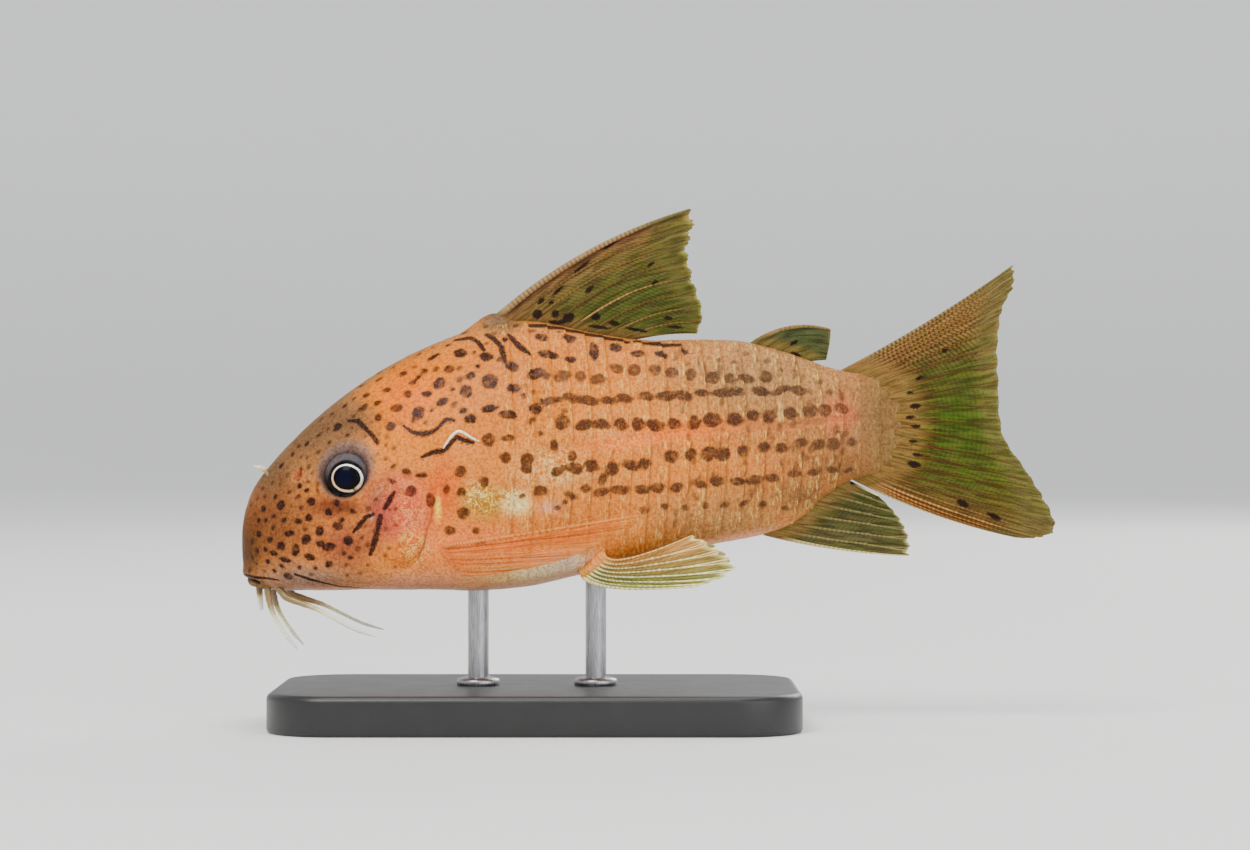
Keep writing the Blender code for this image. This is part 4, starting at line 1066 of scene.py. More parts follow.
def skin_material(settings):
    shader = Shader(
        "spotted skin", Specular_IOR_Level=0.1, Coat_Roughness=0.12, Coat_IOR=1.4, Subsurface_Weight=0.06,
        Subsurface_Scale=0.0004, Subsurface_Radius=(1.0, 0.4, 0.2))
    place = shader.place()
    tint = shader.attribute("tint", "Color")
    mark, tone = shader.attribute("mark"), shader.attribute("tone")
    streak, plate_edge_shadow, gleam = (shader.attribute(name) for name in ("streak", "plate_edge_shadow", "gleam"))
    across, near = shader.attribute("line_across"), shader.attribute("line_near")
    blotches = shader.noise(place, 0.45, 4.0, 0.6)
    ragged = shader.noise(place, 2.0, 2.0)
    grain = shader.noise(place, 4.4, 3.0, 0.6)
    fine = shader.noise(place, 9.0, 2.0)
    scratches = shader.noise(shader.stretched(place, (3.8, 1.1, 1.1)), 1.5, 3.0, 0.65, 0.5)
    glitter = shader.noise(place, 2.6, 3.0, 0.65, 0.9)
    wave = shader.noise(place, 1.7, 2.0, 0.5, 1.4)
    cells = shader.cells(place, 5.5)

    colour = shader.mix(shader.step(blotches, 0.35, 0.65) * 0.5, tint, (0.84, 0.8, 0.77), "MULTIPLY")
    colour = shader.mix((1 - shader.step(grain, 0.38, 0.56)) * 0.75, colour, (0.6, 0.5, 0.45), "MULTIPLY")
    colour = shader.mix(shader.step(fine, 0.5, 0.66) * 0.75, colour, (1.34, 1.34, 1.32), "MULTIPLY")
    along = shader.node("SeparateXYZ", {0: place}, "X") + LENGTH / 2
    net = (1 - shader.step((ragged - 0.5).size(), 0.02, 0.09)) * (1 - shader.step(along, 9.0, 13.0) * 0.7)
    colour = shader.mix(net * 0.42, colour, (0.62, 0.54, 0.46), "MULTIPLY")
    specks = (1 - shader.step(cells, 0.08, 0.24)) * shader.step(blotches, 0.4, 0.6)
    colour = shader.mix(specks * 0.6, colour, (0.42, 0.34, 0.3), "MULTIPLY")
    scratch = streak * shader.step(scratches, 0.52, 0.64)
    colour = shader.mix(scratch * 0.45, colour, paint(*STREAK_COLOUR))
    # Darkens the dark streaks between the pale flecks, and paints the shadow in the crease at each plate's front.
    dark_streak_and_edge_shadow = (streak * (1 - shader.step(scratches, 0.34, 0.46))).at_least(plate_edge_shadow * 0.9)
    colour = shader.mix(dark_streak_and_edge_shadow * 0.6, colour, (0.58, 0.48, 0.42), "MULTIPLY")
    edge = mark + (grain - 0.5) * 0.34 + (ragged - 0.5) * 0.3
    spot = shader.step(edge, -0.11, 0.1) * tone * (0.78 + shader.step(ragged, 0.35, 0.55) * 0.22)
    line = 1 - shader.step((across + (grain - 0.5) * 1.2).size(), 0.5, 1.45)
    dark = spot.at_least(line * shader.step(near, 0.12, 0.45))
    pigment = shader.mix(shader.step(along, 7.0, 12.5), paint(*SPOT_MAROON), paint(*SPOT_BROWN))
    pigment = shader.mix(shader.step(along, 19.0, 27.0), pigment, paint(*SPOT_GREY))
    pigment = shader.mix(shader.step(fine, 0.48, 0.7) * 0.22, pigment, tint)
    colour = shader.mix(dark, colour, pigment)
    curl = 1 - shader.step((wave - 0.5).size(), 0.014, 0.045)
    flecks = curl.at_least(shader.step(glitter, 0.54, 0.62) * 0.7)
    colour = shader.mix(gleam * (1 - flecks) * (1 - dark) * 0.5, colour, (0.74, 0.6, 0.46), "MULTIPLY")
    gold = gleam * flecks * (1 - shader.step(dark, 0.08, 0.45))
    pale = shader.step(blotches, 0.48, 0.58).at_least(shader.step(along, 19.0, 20.6))
    metals = shader.mix(pale, paint(*GOLD_COLOUR), paint(244, 226, 194))
    colour = shader.mix(gold * 0.8, colour, metals)

    pores = shader.step(cells, 0.05, 0.3)
    height = grain * 0.4 + fine * 0.2 + pores * 0.15 + scratch * 0.3 + gold * 0.3
    shader.bump(height, 0.07, 0.8)
    metal = (gold * 0.25 + scratch * 0.05).at_most(0.4)
    rough = settings.roughness + grain * 0.16 - gold * 0.16
    return shader.set(Base_Color=colour, Metallic=metal, Roughness=rough, Coat_Weight=settings.wetness)


def eye_frame(side):
    """The eyeball's centre, the way it looks, and the two ways across it (back, and up)."""
    surface, raised = on_side([EYE_AT], side)[0], on_side([EYE_AT], side, 1.0)[0]
    outward = raised - surface
    up = np.array([0.0, 0.0, 1.0]) - outward * outward[2]
    up /= np.linalg.norm(up)
    back = np.cross(up, outward) * side
    return surface - outward * EYE_SET_BACK, outward, back * np.sign(back[0]), up


def make_eye(side, label, material):
    """An eyeball: a flattened globe, with its pupil and ring drawn by distance from its axis."""
    centre, outward, back, up = eye_frame(side)
    polar = np.linspace(0, math.pi, 60)[:, None] + np.zeros((1, 80))
    turn = np.linspace(0, 2 * math.pi, 80, endpoint=False)[None, :] + np.zeros((60, 1))
    radial = EYE_RADIUS * np.sin(polar)
    across, rise = radial * np.cos(turn), radial * np.sin(turn)
    bulge = 0.07 * bell(radial, 0.8) * (polar < math.pi / 2)
    depth = EYE_DEPTH * np.cos(polar) + bulge
    points = centre + across[..., None] * back + rise[..., None] * up + depth[..., None] * outward
    pupil = np.hypot(across - 0.25, rise + 0.35)
    around = np.arctan2(rise + 0.37, across - 0.32)
    width = 0.15 + 0.05 * bell(around + 0.7, 0.5)
    ring = (np.hypot(across - 0.32, 1.17 * (rise + 0.37)) - 1.05) / width
    above = ease((rise + 0.9) / 1.8)
    notch = bell(around + 0.95, 0.13)
    fields = {"pupil": pupil[1:-1].ravel(), "ring": ring[1:-1].ravel(), "radial": radial[1:-1].ravel(),
              "turn": np.cos(around - 1.2)[1:-1].ravel(), "above": above[1:-1].ravel(),
              "notch": notch[1:-1].ravel()}
    inner = points[1:-1].reshape(-1, 3)
    faces = [tuple(face) for face in ring_faces(58, 80)]
    front, rear = len(inner), len(inner) + 1
    for i in range(80):
        j = (i + 1) % 80
        faces += [(front, i, j), (rear, 57 * 80 + j, 57 * 80 + i)]
    fields = {name: np.concatenate([values, values[:1], values[-1:]]) for name, values in fields.items()}
    all_points = np.concatenate([inner, points[:1, 0], points[-1:, 0]])
    mesh = make_mesh(f"eyeball_{label}", all_points, faces, [material], fields, outwards=True)
    return put_on_body(new_object(f"eyeball_{label}", mesh), "eye", f"eye_{label}")


def eye_material(settings):
    shader = Shader("glossy eye", Roughness=0.35, Specular_IOR_Level=0.03, Coat_Roughness=0.08)
    place = shader.place()
    pupil, ring, radial, turn, above, notch = (
        shader.attribute(name) for name in ("pupil", "ring", "radial", "turn", "above", "notch"))
    noise = shader.noise(place, 2.6, 3.0, 0.6)
    grain = shader.noise(place, 5.0, 3.0, 0.65)
    clouds = shader.noise(place, 1.3, 2.0)
    radius = settings.pupil_radius / MM
    wobble = (noise - 0.5) * 0.8
    silver = shader.step(ring + wobble, -0.3, 0.3) * (1 - shader.step(ring + wobble, 0.7, 1.3))
    silver = silver * shader.step(noise + turn * 0.1, 0.2, 0.34) * (1 - notch * 0.9)
    dark = shader.mix(shader.step(pupil, radius - 0.6, radius - 0.1), paint(14, 21, 58), paint(4, 4, 6))
    smoke = shader.mix(above, paint(60, 40, 42), paint(126, 116, 114))
    smoke = shader.mix(shader.step(grain, 0.42, 0.6) * 0.6, smoke, (0.5, 0.44, 0.46), "MULTIPLY")
    smoke = shader.mix(shader.step(clouds, 0.5, 0.62) * 0.5, smoke, paint(92, 100, 116))
    beyond = pupil.at_least(radial - 0.1) + (grain - 0.5) * 0.3 + above * 0.12
    outer = shader.step(beyond, 1.36, 1.62)
    dark = shader.mix(outer, dark, smoke)
    bright = shader.mix(shader.step(turn, -0.2, 0.7), paint(228, 202, 180), paint(252, 242, 236))
    bright = shader.mix(shader.step(grain, 0.5, 0.64) * 0.5, bright, (0.7, 0.56, 0.48), "MULTIPLY")
    shader.bump(grain * outer, 0.04, 0.6)
    coat = 0.07 - outer * 0.06
    colour = shader.mix(silver * (1 - outer), dark, bright)
    return shader.set(Base_Color=colour, Metallic=silver * 0.2, Coat_Weight=coat)


class Sheet:
    """A fin's middle surface: rays that bend from their feet to their tips, read at any share along the fin."""

    def __init__(self, foot, tip, lean, sunk=1.1, crowding=0.0):
        self.shares = np.linspace(0, 1, 161)
        self.ends = [np.array([f(x) for x in self.shares], float) for f in (foot, lean, tip)]
        self.sunk = sunk
        self.crowding = crowding

    def read(self, share, which):
        share = share - self.crowding * np.sin(2 * math.pi * share) / (2 * math.pi)
        return np.stack([np.interp(share, self.shares, self.ends[which][:, k]) for k in range(3)], -1)

    def start(self, share):
        """Where along its run a ray's root is, below 0, sunk in the flesh."""
        speed = 2 * np.linalg.norm(self.read(share, 1) - self.read(share, 0), axis=-1)
        return -self.sunk / speed

    def length(self, share):
        return np.linalg.norm(self.read(share, 2) - self.read(share, 0), axis=-1)

    def at(self, share, t):
        foot, lean, tip = (self.read(share, k) for k in range(3))
        t = np.asarray(t)[..., None]
        return (1 - t) ** 2 * foot + 2 * t * (1 - t) * lean + t * t * tip


def along_margin(points):
    """A smooth curve through the points, as a function of the share of the way along it."""
    points = np.array(points, float)
    reach = np.cumsum([0] + [np.linalg.norm(b - a) for a, b in zip(points, points[1:])])

    def read(share):
        x = min(max(share, 0.0), 1.0) * reach[-1]
        i = min(max(int(np.searchsorted(reach, x, side="right")) - 1, 0), len(points) - 2)
        t = (x - reach[i]) / (reach[i + 1] - reach[i])
        before, after = points[max(i - 1, 0)], points[min(i + 2, len(points) - 1)]
        slope_in, slope_out = (points[i + 1] - before) / 2, (after - points[i]) / 2
        place = (2 * t**3 - 3 * t**2 + 1) * points[i] + (3 * t**2 - 2 * t**3) * points[i + 1]
        return place + (t**3 - 2 * t**2 + t) * slope_in + (t**3 - t**2) * slope_out

    return read


def middle_sheet(root, margin, bow, **extra):
    """The sheet of a fin in the body's middle plane, as in the model's source."""
    tip = along_margin([(s, 0.0, h) for s, h in margin])

    def foot(share):
        s, h = root(share)
        return np.array([s, 0.0, h])

    def lean(share):
        start, end = foot(share), tip(share)
        run = end - start
        aside = np.array([-run[2], 0.0, run[0]]) / np.linalg.norm(run)
        return (start + end) / 2 + 2 * bow(share) * aside

    return Sheet(foot, tip, lean, **extra)


def paired_sheet(side, foot, margin, off):
    """The sheet of a fin of a left and right pair, as in the model's source."""
    edge = along_margin(margin)

    def raised(share, lift):
        s, angle = foot(share)
        return mirrored(skin_points(np.array(s), np.array(angle), np.array(lift)), side)

    def root(share):
        return raised(share, 0.64)

    def tip(share):
        return mirrored(edge(share), side)

    def lean(share):
        outward = raised(share, 1.0) - raised(share, 0.0)
        start = root(share)
        return start + outward * off(share) + (tip(share) - start) * 0.05

    return Sheet(root, tip, lean, sunk=1.3)


def tail_edge(share):
    """(s, h) along the tail fin's root, which wraps the flesh's rounded end."""
    start, last = END_ROUNDING_START + 0.2, FLESH_END - 0.002
    above = np.linspace(start, last, 40)
    below = np.linspace(last, start + 0.6, 40)
    outline = np.concatenate([np.stack([above, top_at(above)], -1), np.stack([below, bottom_at(below)], -1)])
    reach = np.concatenate([[0], np.cumsum(np.linalg.norm(np.diff(outline, axis=0), axis=1))])
    point = np.array([np.interp(share * reach[-1], reach, outline[:, k]) for k in range(2)])
    nearest = np.argmin(np.linalg.norm(outline - point, axis=1))
    run = outline[min(nearest + 2, len(outline) - 1)] - outline[max(nearest - 2, 0)]
    return point + np.array([-run[1], run[0]]) / np.linalg.norm(run) * (GAP + 0.22)


def dorsal_sheet(_):
    def root(share):
        s = 19.3 + 11.9 * share**0.92
        return s, top_at(s) + GAP

    margin = [
        (34.6, 29.18), (34.75, 28.0), (34.3, 26.0), (34.7, 23.6), (35.3, 21.7), (35.3, 20.7), (34.9, 19.6)]
    return middle_sheet(root, margin, lambda share: 1.0 - 0.9 * share)


def adipose_sheet(_):
    def root(share):
        s = 39.5 + 4.7 * share
        return s, top_at(s) + GAP

    return middle_sheet(root, [(45.1, 19.9), (45.0, 18.8), (44.75, 17.6)], lambda share: 0.62 * (1 - share))


def anal_sheet(_):
    def root(share):
        s = 41.0 + 5.8 * share
        return s, bottom_at(s) - GAP - 0.25 * (1 - share)

    margin = [(51.2, 2.6), (51.2, 3.8), (50.75, 5.0), (49.9, 6.1), (48.8, 7.15)]
    return middle_sheet(root, margin, lambda share: -0.25 * (1 - share))


def tail_sheet(_):
    margin = [
        (59.15, 24.9), (59.2, 23.4), (58.3, 21.4), (57.95, 18.6), (58.0, 15.6), (58.1, 13.2), (58.6, 11.3),
        (60.1, 9.2), (61.4, 7.2), (62.45, 5.0), (62.0, 4.2), (60.8, 3.9), (59.5, 3.95),
    ]
    return middle_sheet(
        tail_edge, margin, lambda share: -0.25 * (1 - ease(share * 4)) - 0.4 * ease(share * 4 - 3),
        sunk=2.4, crowding=0.5)


def pectoral_sheet(side):
    margin = [
        (30.6, 7.0, 5.9), (29.6, 7.2, 5.0), (27.9, 7.5, 3.9), (25.8, 7.8, 2.9), (23.4, 8.0, 2.2),
        (21.4, 8.0, 1.9),
    ]

    def foot(share):
        s = 15.6 + 1.3 * share
        return s, float(angle_at(s, 3.6 - 1.7 * share))

    return paired_sheet(side, foot, margin, lambda share: 2.4 - 0.5 * share)


def pelvic_sheet(side):
    margin = [
        (34.9, 6.4, 0.55), (36.7, 6.3, 1.15), (37.8, 6.0, 2.0), (37.1, 5.5, 2.8), (36.0, 5.1, 3.6),
        (34.6, 4.8, 4.4),
    ]

    def foot(share):
        return 26.0 + 1.7 * share, math.radians(150 - 14 * share)

    return paired_sheet(side, foot, margin, lambda share: 1.5 + 0.3 * share)


# Each fin: its sheet, side, number of rays, thickness of its spine and rays, depth of the notches between its
# rays, how far its web and its rays hide what is behind them, the colours of its web and its rays as (share
# along the fin, colour), and the colours of its foot and its rim. A fin may also say how slender its rays are
# and how strongly they are barred, as (share along the fin, value).
# The olive and green of the fins' webs is partly their own colour and partly painted light: the green light from
# behind, shining through the thin web.
OLIVE = (96, 104, 50)
PAIRED_WEB = [(0, (232, 150, 104)), (1, (236, 156, 112))]
PAIRED_RAYS = [(0, (240, 178, 138)), (0.15, (200, 122, 76)), (0.38, (250, 198, 158)), (0.55, (206, 128, 84)),
               (0.75, (248, 190, 150)), (0.9, (216, 136, 92)), (1, (238, 164, 120))]
PELVIC_WEB = [(0, (170, 164, 96)), (0.3, (140, 142, 92)), (1, (196, 156, 116))]
PELVIC_RAYS = [(0, (246, 242, 206)), (0.5, (244, 230, 204)), (1, (240, 200, 166))]
FINS = {
    "dorsal_fin": dict(
        sheet=dorsal_sheet, side=0, rays=9, spine=0.29, ray=0.1, notch=0.03, opacity=0.93, foot=(128, 102, 62),
        rim=(168, 166, 118),
        tip=(116, 112, 66), bars=[(0, 0.5), (1, 0.5)],
        web=[(0, (164, 140, 106)), (0.02, (118, 84, 56)), (0.05, (118, 84, 56)), (0.1, (138, 118, 78)),
             (0.3, (112, 108, 60)), (0.5, OLIVE), (1, (100, 106, 50))],
        ray_colours=[(0, (176, 154, 122)), (0.1, (130, 102, 64)), (0.26, (152, 120, 82)), (0.4, (120, 90, 52)),
                     (0.5, (190, 150, 116)), (0.62, (128, 96, 58)), (0.76, (158, 128, 88)),
                     (1, (132, 114, 70))]),
    "adipose_fin": dict(
        sheet=adipose_sheet, side=0, rays=3, spine=0.2, ray=0.05, notch=0.0, opacity=0.93, foot=(128, 112, 68),
        rim=(140, 136, 94), web=[(0, (96, 104, 70)), (1, (88, 98, 60))],
        ray_colours=[(0, (156, 136, 96)), (1, (116, 110, 66))]),
    "anal_fin": dict(
        sheet=anal_sheet, side=0, rays=8, spine=0.15, ray=0.13, notch=0.03, opacity=0.92, foot=(152, 128, 88),
        foot_reach=1.9,
        rim=(196, 198, 162), web=[(0, (106, 106, 66)), (1, (90, 94, 52))],
        ray_colours=[(0, (206, 200, 164)), (0.12, (156, 148, 110)), (0.85, (146, 138, 100)),
                     (1, (222, 220, 190))]),
    "tail_fin": dict(
        sheet=tail_sheet, side=0, rays=23, spine=0.17, ray=0.12, notch=0.02, opacity=0.94, foot=(150, 122, 82),
        foot_reach=2.6, tip=(132, 124, 84), rim=(146, 142, 100), comb=1.0,
        web=[(0, (152, 130, 90)), (0.22, (142, 118, 74)), (0.34, (102, 104, 52)), (0.5, (88, 110, 40)),
             (0.7, (102, 108, 46)), (0.82, (120, 102, 58)), (0.93, (116, 84, 44)), (1, (146, 130, 90))],
        ray_colours=[(0, (164, 144, 106)), (0.06, (168, 138, 96)), (0.25, (150, 116, 74)),
                     (0.38, (116, 66, 38)), (0.62, (120, 52, 34)), (0.78, (130, 98, 58)),
                     (0.88, (212, 172, 132)), (0.94, (168, 116, 72)), (1, (200, 186, 146))],
        slender=[(0, 1.0), (0.28, 1.0), (0.4, 0.72), (0.72, 0.72), (0.84, 1.0), (1, 1.0)],
        bars=[(0, 1.0), (0.27, 1.0), (0.36, 0.25), (0.8, 0.25), (0.9, 0.6), (1, 0.4)]),
}
for fin_side, fin_label in ((-1, "left"), (1, "right")):
    FINS[f"pectoral_fin_{fin_label}"] = dict(
        sheet=pectoral_sheet, side=fin_side, rays=9, spine=0.17, ray=0.07, notch=0.02, opacity=0.24,
        ray_cover=0.6, foot=(236, 152, 108), rim=(240, 176, 130), web=PAIRED_WEB, ray_colours=PAIRED_RAYS)
    FINS[f"pelvic_fin_{fin_label}"] = dict(
        sheet=pelvic_sheet, side=fin_side, rays=8, spine=0.18, ray=0.12, notch=0.03, opacity=0.82,
        foot=(230, 178, 140), rim=(244, 242, 216), web=PELVIC_WEB, ray_colours=PELVIC_RAYS)
BAR_PITCH = 0.36

# Marks on the fins, in the fish's side view: (s, h, half length, half height, tilt).
FIN_MARKS = [
    (22.6, 21.1, 0.4, 0.36, 30), (24.0, 21.1, 0.32, 0.3, 0), (25.0, 20.8, 0.5, 0.36, 20),
    (27.1, 20.9, 0.34, 0.3, 0), (28.5, 20.4, 0.42, 0.18, -10), (22.9, 22.1, 0.34, 0.2, 45),
    (23.7, 22.0, 0.22, 0.2, 0), (26.6, 23.0, 0.4, 0.2, 40), (32.6, 20.8, 0.34, 0.16, -5),
    (31.6, 23.5, 0.3, 0.14, 40), (31.3, 24.9, 0.3, 0.12, 35), (24.2, 22.9, 0.55, 0.13, 42),
    (26.0, 24.7, 0.8, 0.13, 38), (28.2, 26.4, 0.7, 0.12, 34), (24.1, 20.45, 0.7, 0.18, -4),
    (27.3, 20.1, 0.9, 0.14, -8), (30.2, 19.9, 0.9, 0.12, -10), (33.2, 20.1, 0.6, 0.12, -4),
    (51.6, 14.05, 0.44, 0.2, 4), (51.15, 13.2, 0.36, 0.15, 0), (51.6, 12.5, 0.42, 0.14, -2),
    (51.35, 11.35, 0.34, 0.12, -4), (51.7, 10.3, 0.36, 0.14, -10), (51.45, 9.6, 0.5, 0.26, -14),
    (51.2, 15.1, 0.26, 0.12, 12), (51.9, 16.2, 0.3, 0.12, 24),
    (42.3, 18.9, 0.38, 0.12, 25), (42.4, 18.0, 0.42, 0.14, -15), (46.8, 8.2, 0.22, 0.2, 0),
    (55.2, 6.6, 0.5, 0.24, -25), (57.6, 5.6, 0.6, 0.2, -25), (53.8, 18.3, 0.26, 0.16, 20),
]


def blend_stops(stops, share):
    """The colour at each share along a fin, from its stops."""
    places = [place for place, _ in stops]
    return np.stack([np.interp(share, places, [colour[k] for _, colour in stops]) for k in range(3)], -1)


def bar_strength(fin, share, t):
    """How strongly the rays are barred, which fades towards the fin's edge."""
    places, values = zip(*fin.get("bars", [(0, 0.35)]))
    return np.interp(share, places, values) * (1 - ease((t - 0.68) / 0.2))


def fork_lines(fin, sheet, share, thickness, edge, is_spine):
    """A ray's lines out to the fin's edge: one stem that forks twice, or a spine that doesn't."""
    spread = 0.9 / (fin["rays"] - 1)
    start = float(sheet.start(share))
    if is_spine:
        stems = [(start, 1.0, [])]
    else:
        stems = [(start, 0.5, [])]
        stems += [(0.46, 0.76, [a]) for a in (-1, 1)]
        stems += [(0.73, 1.0, [a, b]) for a in (-1, 1) for b in (-1, 1)]
    lines = []
    for begin, end, turns in stems:
        count = max(6, round(float(sheet.length(share)) * (end - begin) / 0.14))
        t = np.linspace(begin, end, count)
        place = np.full(count, float(share))
        if turns:
            place += turns[0] * spread * 0.27 * ease((t - 0.46) / 0.5)
        if len(turns) == 2:
            place += turns[1] * spread * 0.13 * ease((t - 0.73) / 0.27)
        place = np.clip(place, 0.0, 1.0)
        t = np.where(t > 0, t * edge(place), t)
        run = t * sheet.length(place)
        size = thickness * (1 - (0.6 if is_spine else 0.5) * np.clip(t, 0, 1)) * (0.8 ** len(turns))
        knots = np.sin(run * math.pi / BAR_PITCH) * ease((run - 1.5) / 1.5)
        size = size * (1 + (0.0 if is_spine else 0.1) * knots)
        if end == 1.0:
            size[-1] *= 0.5
        points = sheet.at(place, t)
        tint = blend_stops(fin["ray_colours"], place)
        shade_ends(fin, tint, run, t)
        cover = fin.get("ray_cover", 1.0)
        if cover < 1:
            cover = cover * ease((run - 0.3) / 2.5)
        lines.append({"points": points, "thickness": size, "run": run, "tint": painted(tint),
                      "cover": np.broadcast_to(cover, run.shape), "bars": bar_strength(fin, place, t),
                      "mark": fin_mark_depth(points)})
    return lines


def shade_ends(fin, tint, run, t):
    """Tones a fin's colours at its foot and, where the fin says so, towards its edge. Gives the foot's share."""
    foot = 1 - ease(run / fin.get("foot_reach", 1.3))
    tint += (np.array(fin["foot"]) - tint) * (0.88 * foot)[..., None]
    if "tip" in fin:
        tint += (np.array(fin["tip"]) - tint) * (0.7 * ease((t - 0.66) / 0.2))[..., None]
    return foot


def fin_mark_depth(points):
    """Each point's depth inside the nearest mark of the fins, in mm."""
    depth = np.full(points.shape[:-1], -0.5)
    for s, h, length, height, tilt in FIN_MARKS:
        turn = math.radians(tilt)
        across, up = points[..., 0] - s, points[..., 2] - h
        u = across * math.cos(turn) + up * math.sin(turn)
        v = up * math.cos(turn) - across * math.sin(turn)
        depth = np.maximum(depth, (1 - np.hypot(u / length, v / height)) * math.sqrt(length * height))
    return depth


def make_fin(name, web_material, ray_material, settings):
    """A fin of two pieces: a thin web, closed on both faces, and the rays that carry it."""
    fin = FINS[name]
    sheet, rays = fin["sheet"](fin["side"]), fin["rays"]
    rng = np.random.default_rng(SEED + sum(map(ord, name)))
    nibble = rng.uniform(0.0, 1.0, 120)

    def edge(share):
        number = np.asarray(share) * (rays - 1)
        between = (1 - np.cos(2 * math.pi * number)) / 2
        tips = (1 - np.cos(2 * math.pi * number * 4)) / 2
        ragged = np.interp(share, np.linspace(0, 1, 120), nibble)
        return 1 - fin["notch"] * (between * 0.7 + tips * 0.25 + 0.5 * ragged)

    columns, rows = (rays - 1) * 12 + 1, 56
    share = np.linspace(0, 1, columns)[None, :]
    out = np.linspace(0, 1, rows)[:, None] ** 0.9
    start = sheet.start(share)
    t = start + (edge(share) - start) * out
    share = np.broadcast_to(share, t.shape)
    middle = sheet.at(share, t)
    normal = np.cross(np.gradient(middle, axis=0), np.gradient(middle, axis=1))
    normal /= np.maximum(np.linalg.norm(normal, axis=-1, keepdims=True), 1e-9)
    run = t * sheet.length(share)
    fleshy = 0.22 * (1 - ease((run + 0.2) / 0.9))
    ripple = 0.05 * np.sin(share * (rays - 1) * math.pi * 2) * ease(run / 3.0)
    half = (settings.web_thickness / MM / 2 + fleshy) * (1 - 0.5 * ease((t - 0.9) / 0.1))
    middle = middle + normal * ripple[..., None]
    count = rows * columns
    points = np.concatenate([(middle + normal * half[..., None]).reshape(-1, 3),
                             (middle - normal * half[..., None]).reshape(-1, 3)])
    faces = [tuple(face) for face in ring_faces(rows, columns, closed=False)]
    faces += [tuple(count + i for i in face[::-1]) for face in faces]
    rim = list(range(columns)) + [r * columns + columns - 1 for r in range(1, rows)]
    rim += [(rows - 1) * columns + i for i in reversed(range(columns - 1))]
    rim += [r * columns for r in reversed(range(1, rows - 1))]
    faces += [(a, b, count + b, count + a) for a, b in zip(rim, rim[1:] + rim[:1])]

    tint = blend_stops(fin["web"], share)
    foot = shade_ends(fin, tint, run, t)
    tint += (np.array(fin["rim"]) - tint) * (0.8 * ease((t / edge(share) - 0.955) / 0.045))[..., None]
    cover = np.clip(fin["opacity"] * (settings.web_opacity + 0.5 * foot), 0, 1)
    if "ray_cover" in fin:
        cover = cover * (0.4 + 0.6 * ease(run / 3.0))
    fields = {"mark": fin_mark_depth(middle), "run": run, "number": share * (rays - 1), "cover": cover,
              "tint": painted(tint), "bars": bar_strength(fin, share, t),
              "comb": fin.get("comb", 0.0) * bell(run - 1.5, 0.7)}
    for key, values in fields.items():
        fields[key] = np.concatenate([values.reshape(count, *values.shape[2:])] * 2)
    web = make_mesh(f"{name}_web", points, faces, [web_material], fields, True)
    put_on_body(new_object(f"{name}_web", web), "fin", name)

    lines = []
    for ray in range(rays):
        at = min(max(ray / (rays - 1), 0.004), 0.996)
        size = fin["ray"] * np.interp(at, *zip(*fin.get("slender", [(0, 1.0)])))
        if ray == 0:
            size = fin["spine"]
        if ray == rays - 1:
            size *= 0.8
        lines += fork_lines(fin, sheet, at, size, edge, ray in (0, rays - 1))
    put_on_body(swept_lines(f"{name}_rays", lines, 8, ray_material), "fin")
    if name.startswith("pectoral"):
        make_spine_teeth(name, sheet, ray_material)


def make_spine_teeth(name, sheet, material):
    """The saw edge of small teeth along the back of a pectoral spine."""
    t = np.linspace(0.18, 0.86, 26)
    points = sheet.at(np.full(26, 0.012), t)
    way = sheet.at(np.full(26, 0.06), t) - points
    way /= np.linalg.norm(way, axis=-1, keepdims=True)
    mesh = bpy.data.meshes.new(f"{name}_teeth")
    mesh.from_pydata(world(points + way * 0.14).tolist(), [], [])
    mesh.attributes.new("way", "FLOAT_VECTOR", "POINT").data.foreach_set("vector", way.ravel())
    keep_field(mesh, "tint", painted(np.tile([238.0, 168.0, 116.0], (26, 1))))
    keep_field(mesh, "cover", np.full(26, 0.6))
    teeth = new_object(f"{name}_teeth", mesh)
    run_tree(teeth, spike_tree(), Size=0.00016, Material=material)
    put_on_body(teeth, "fin")


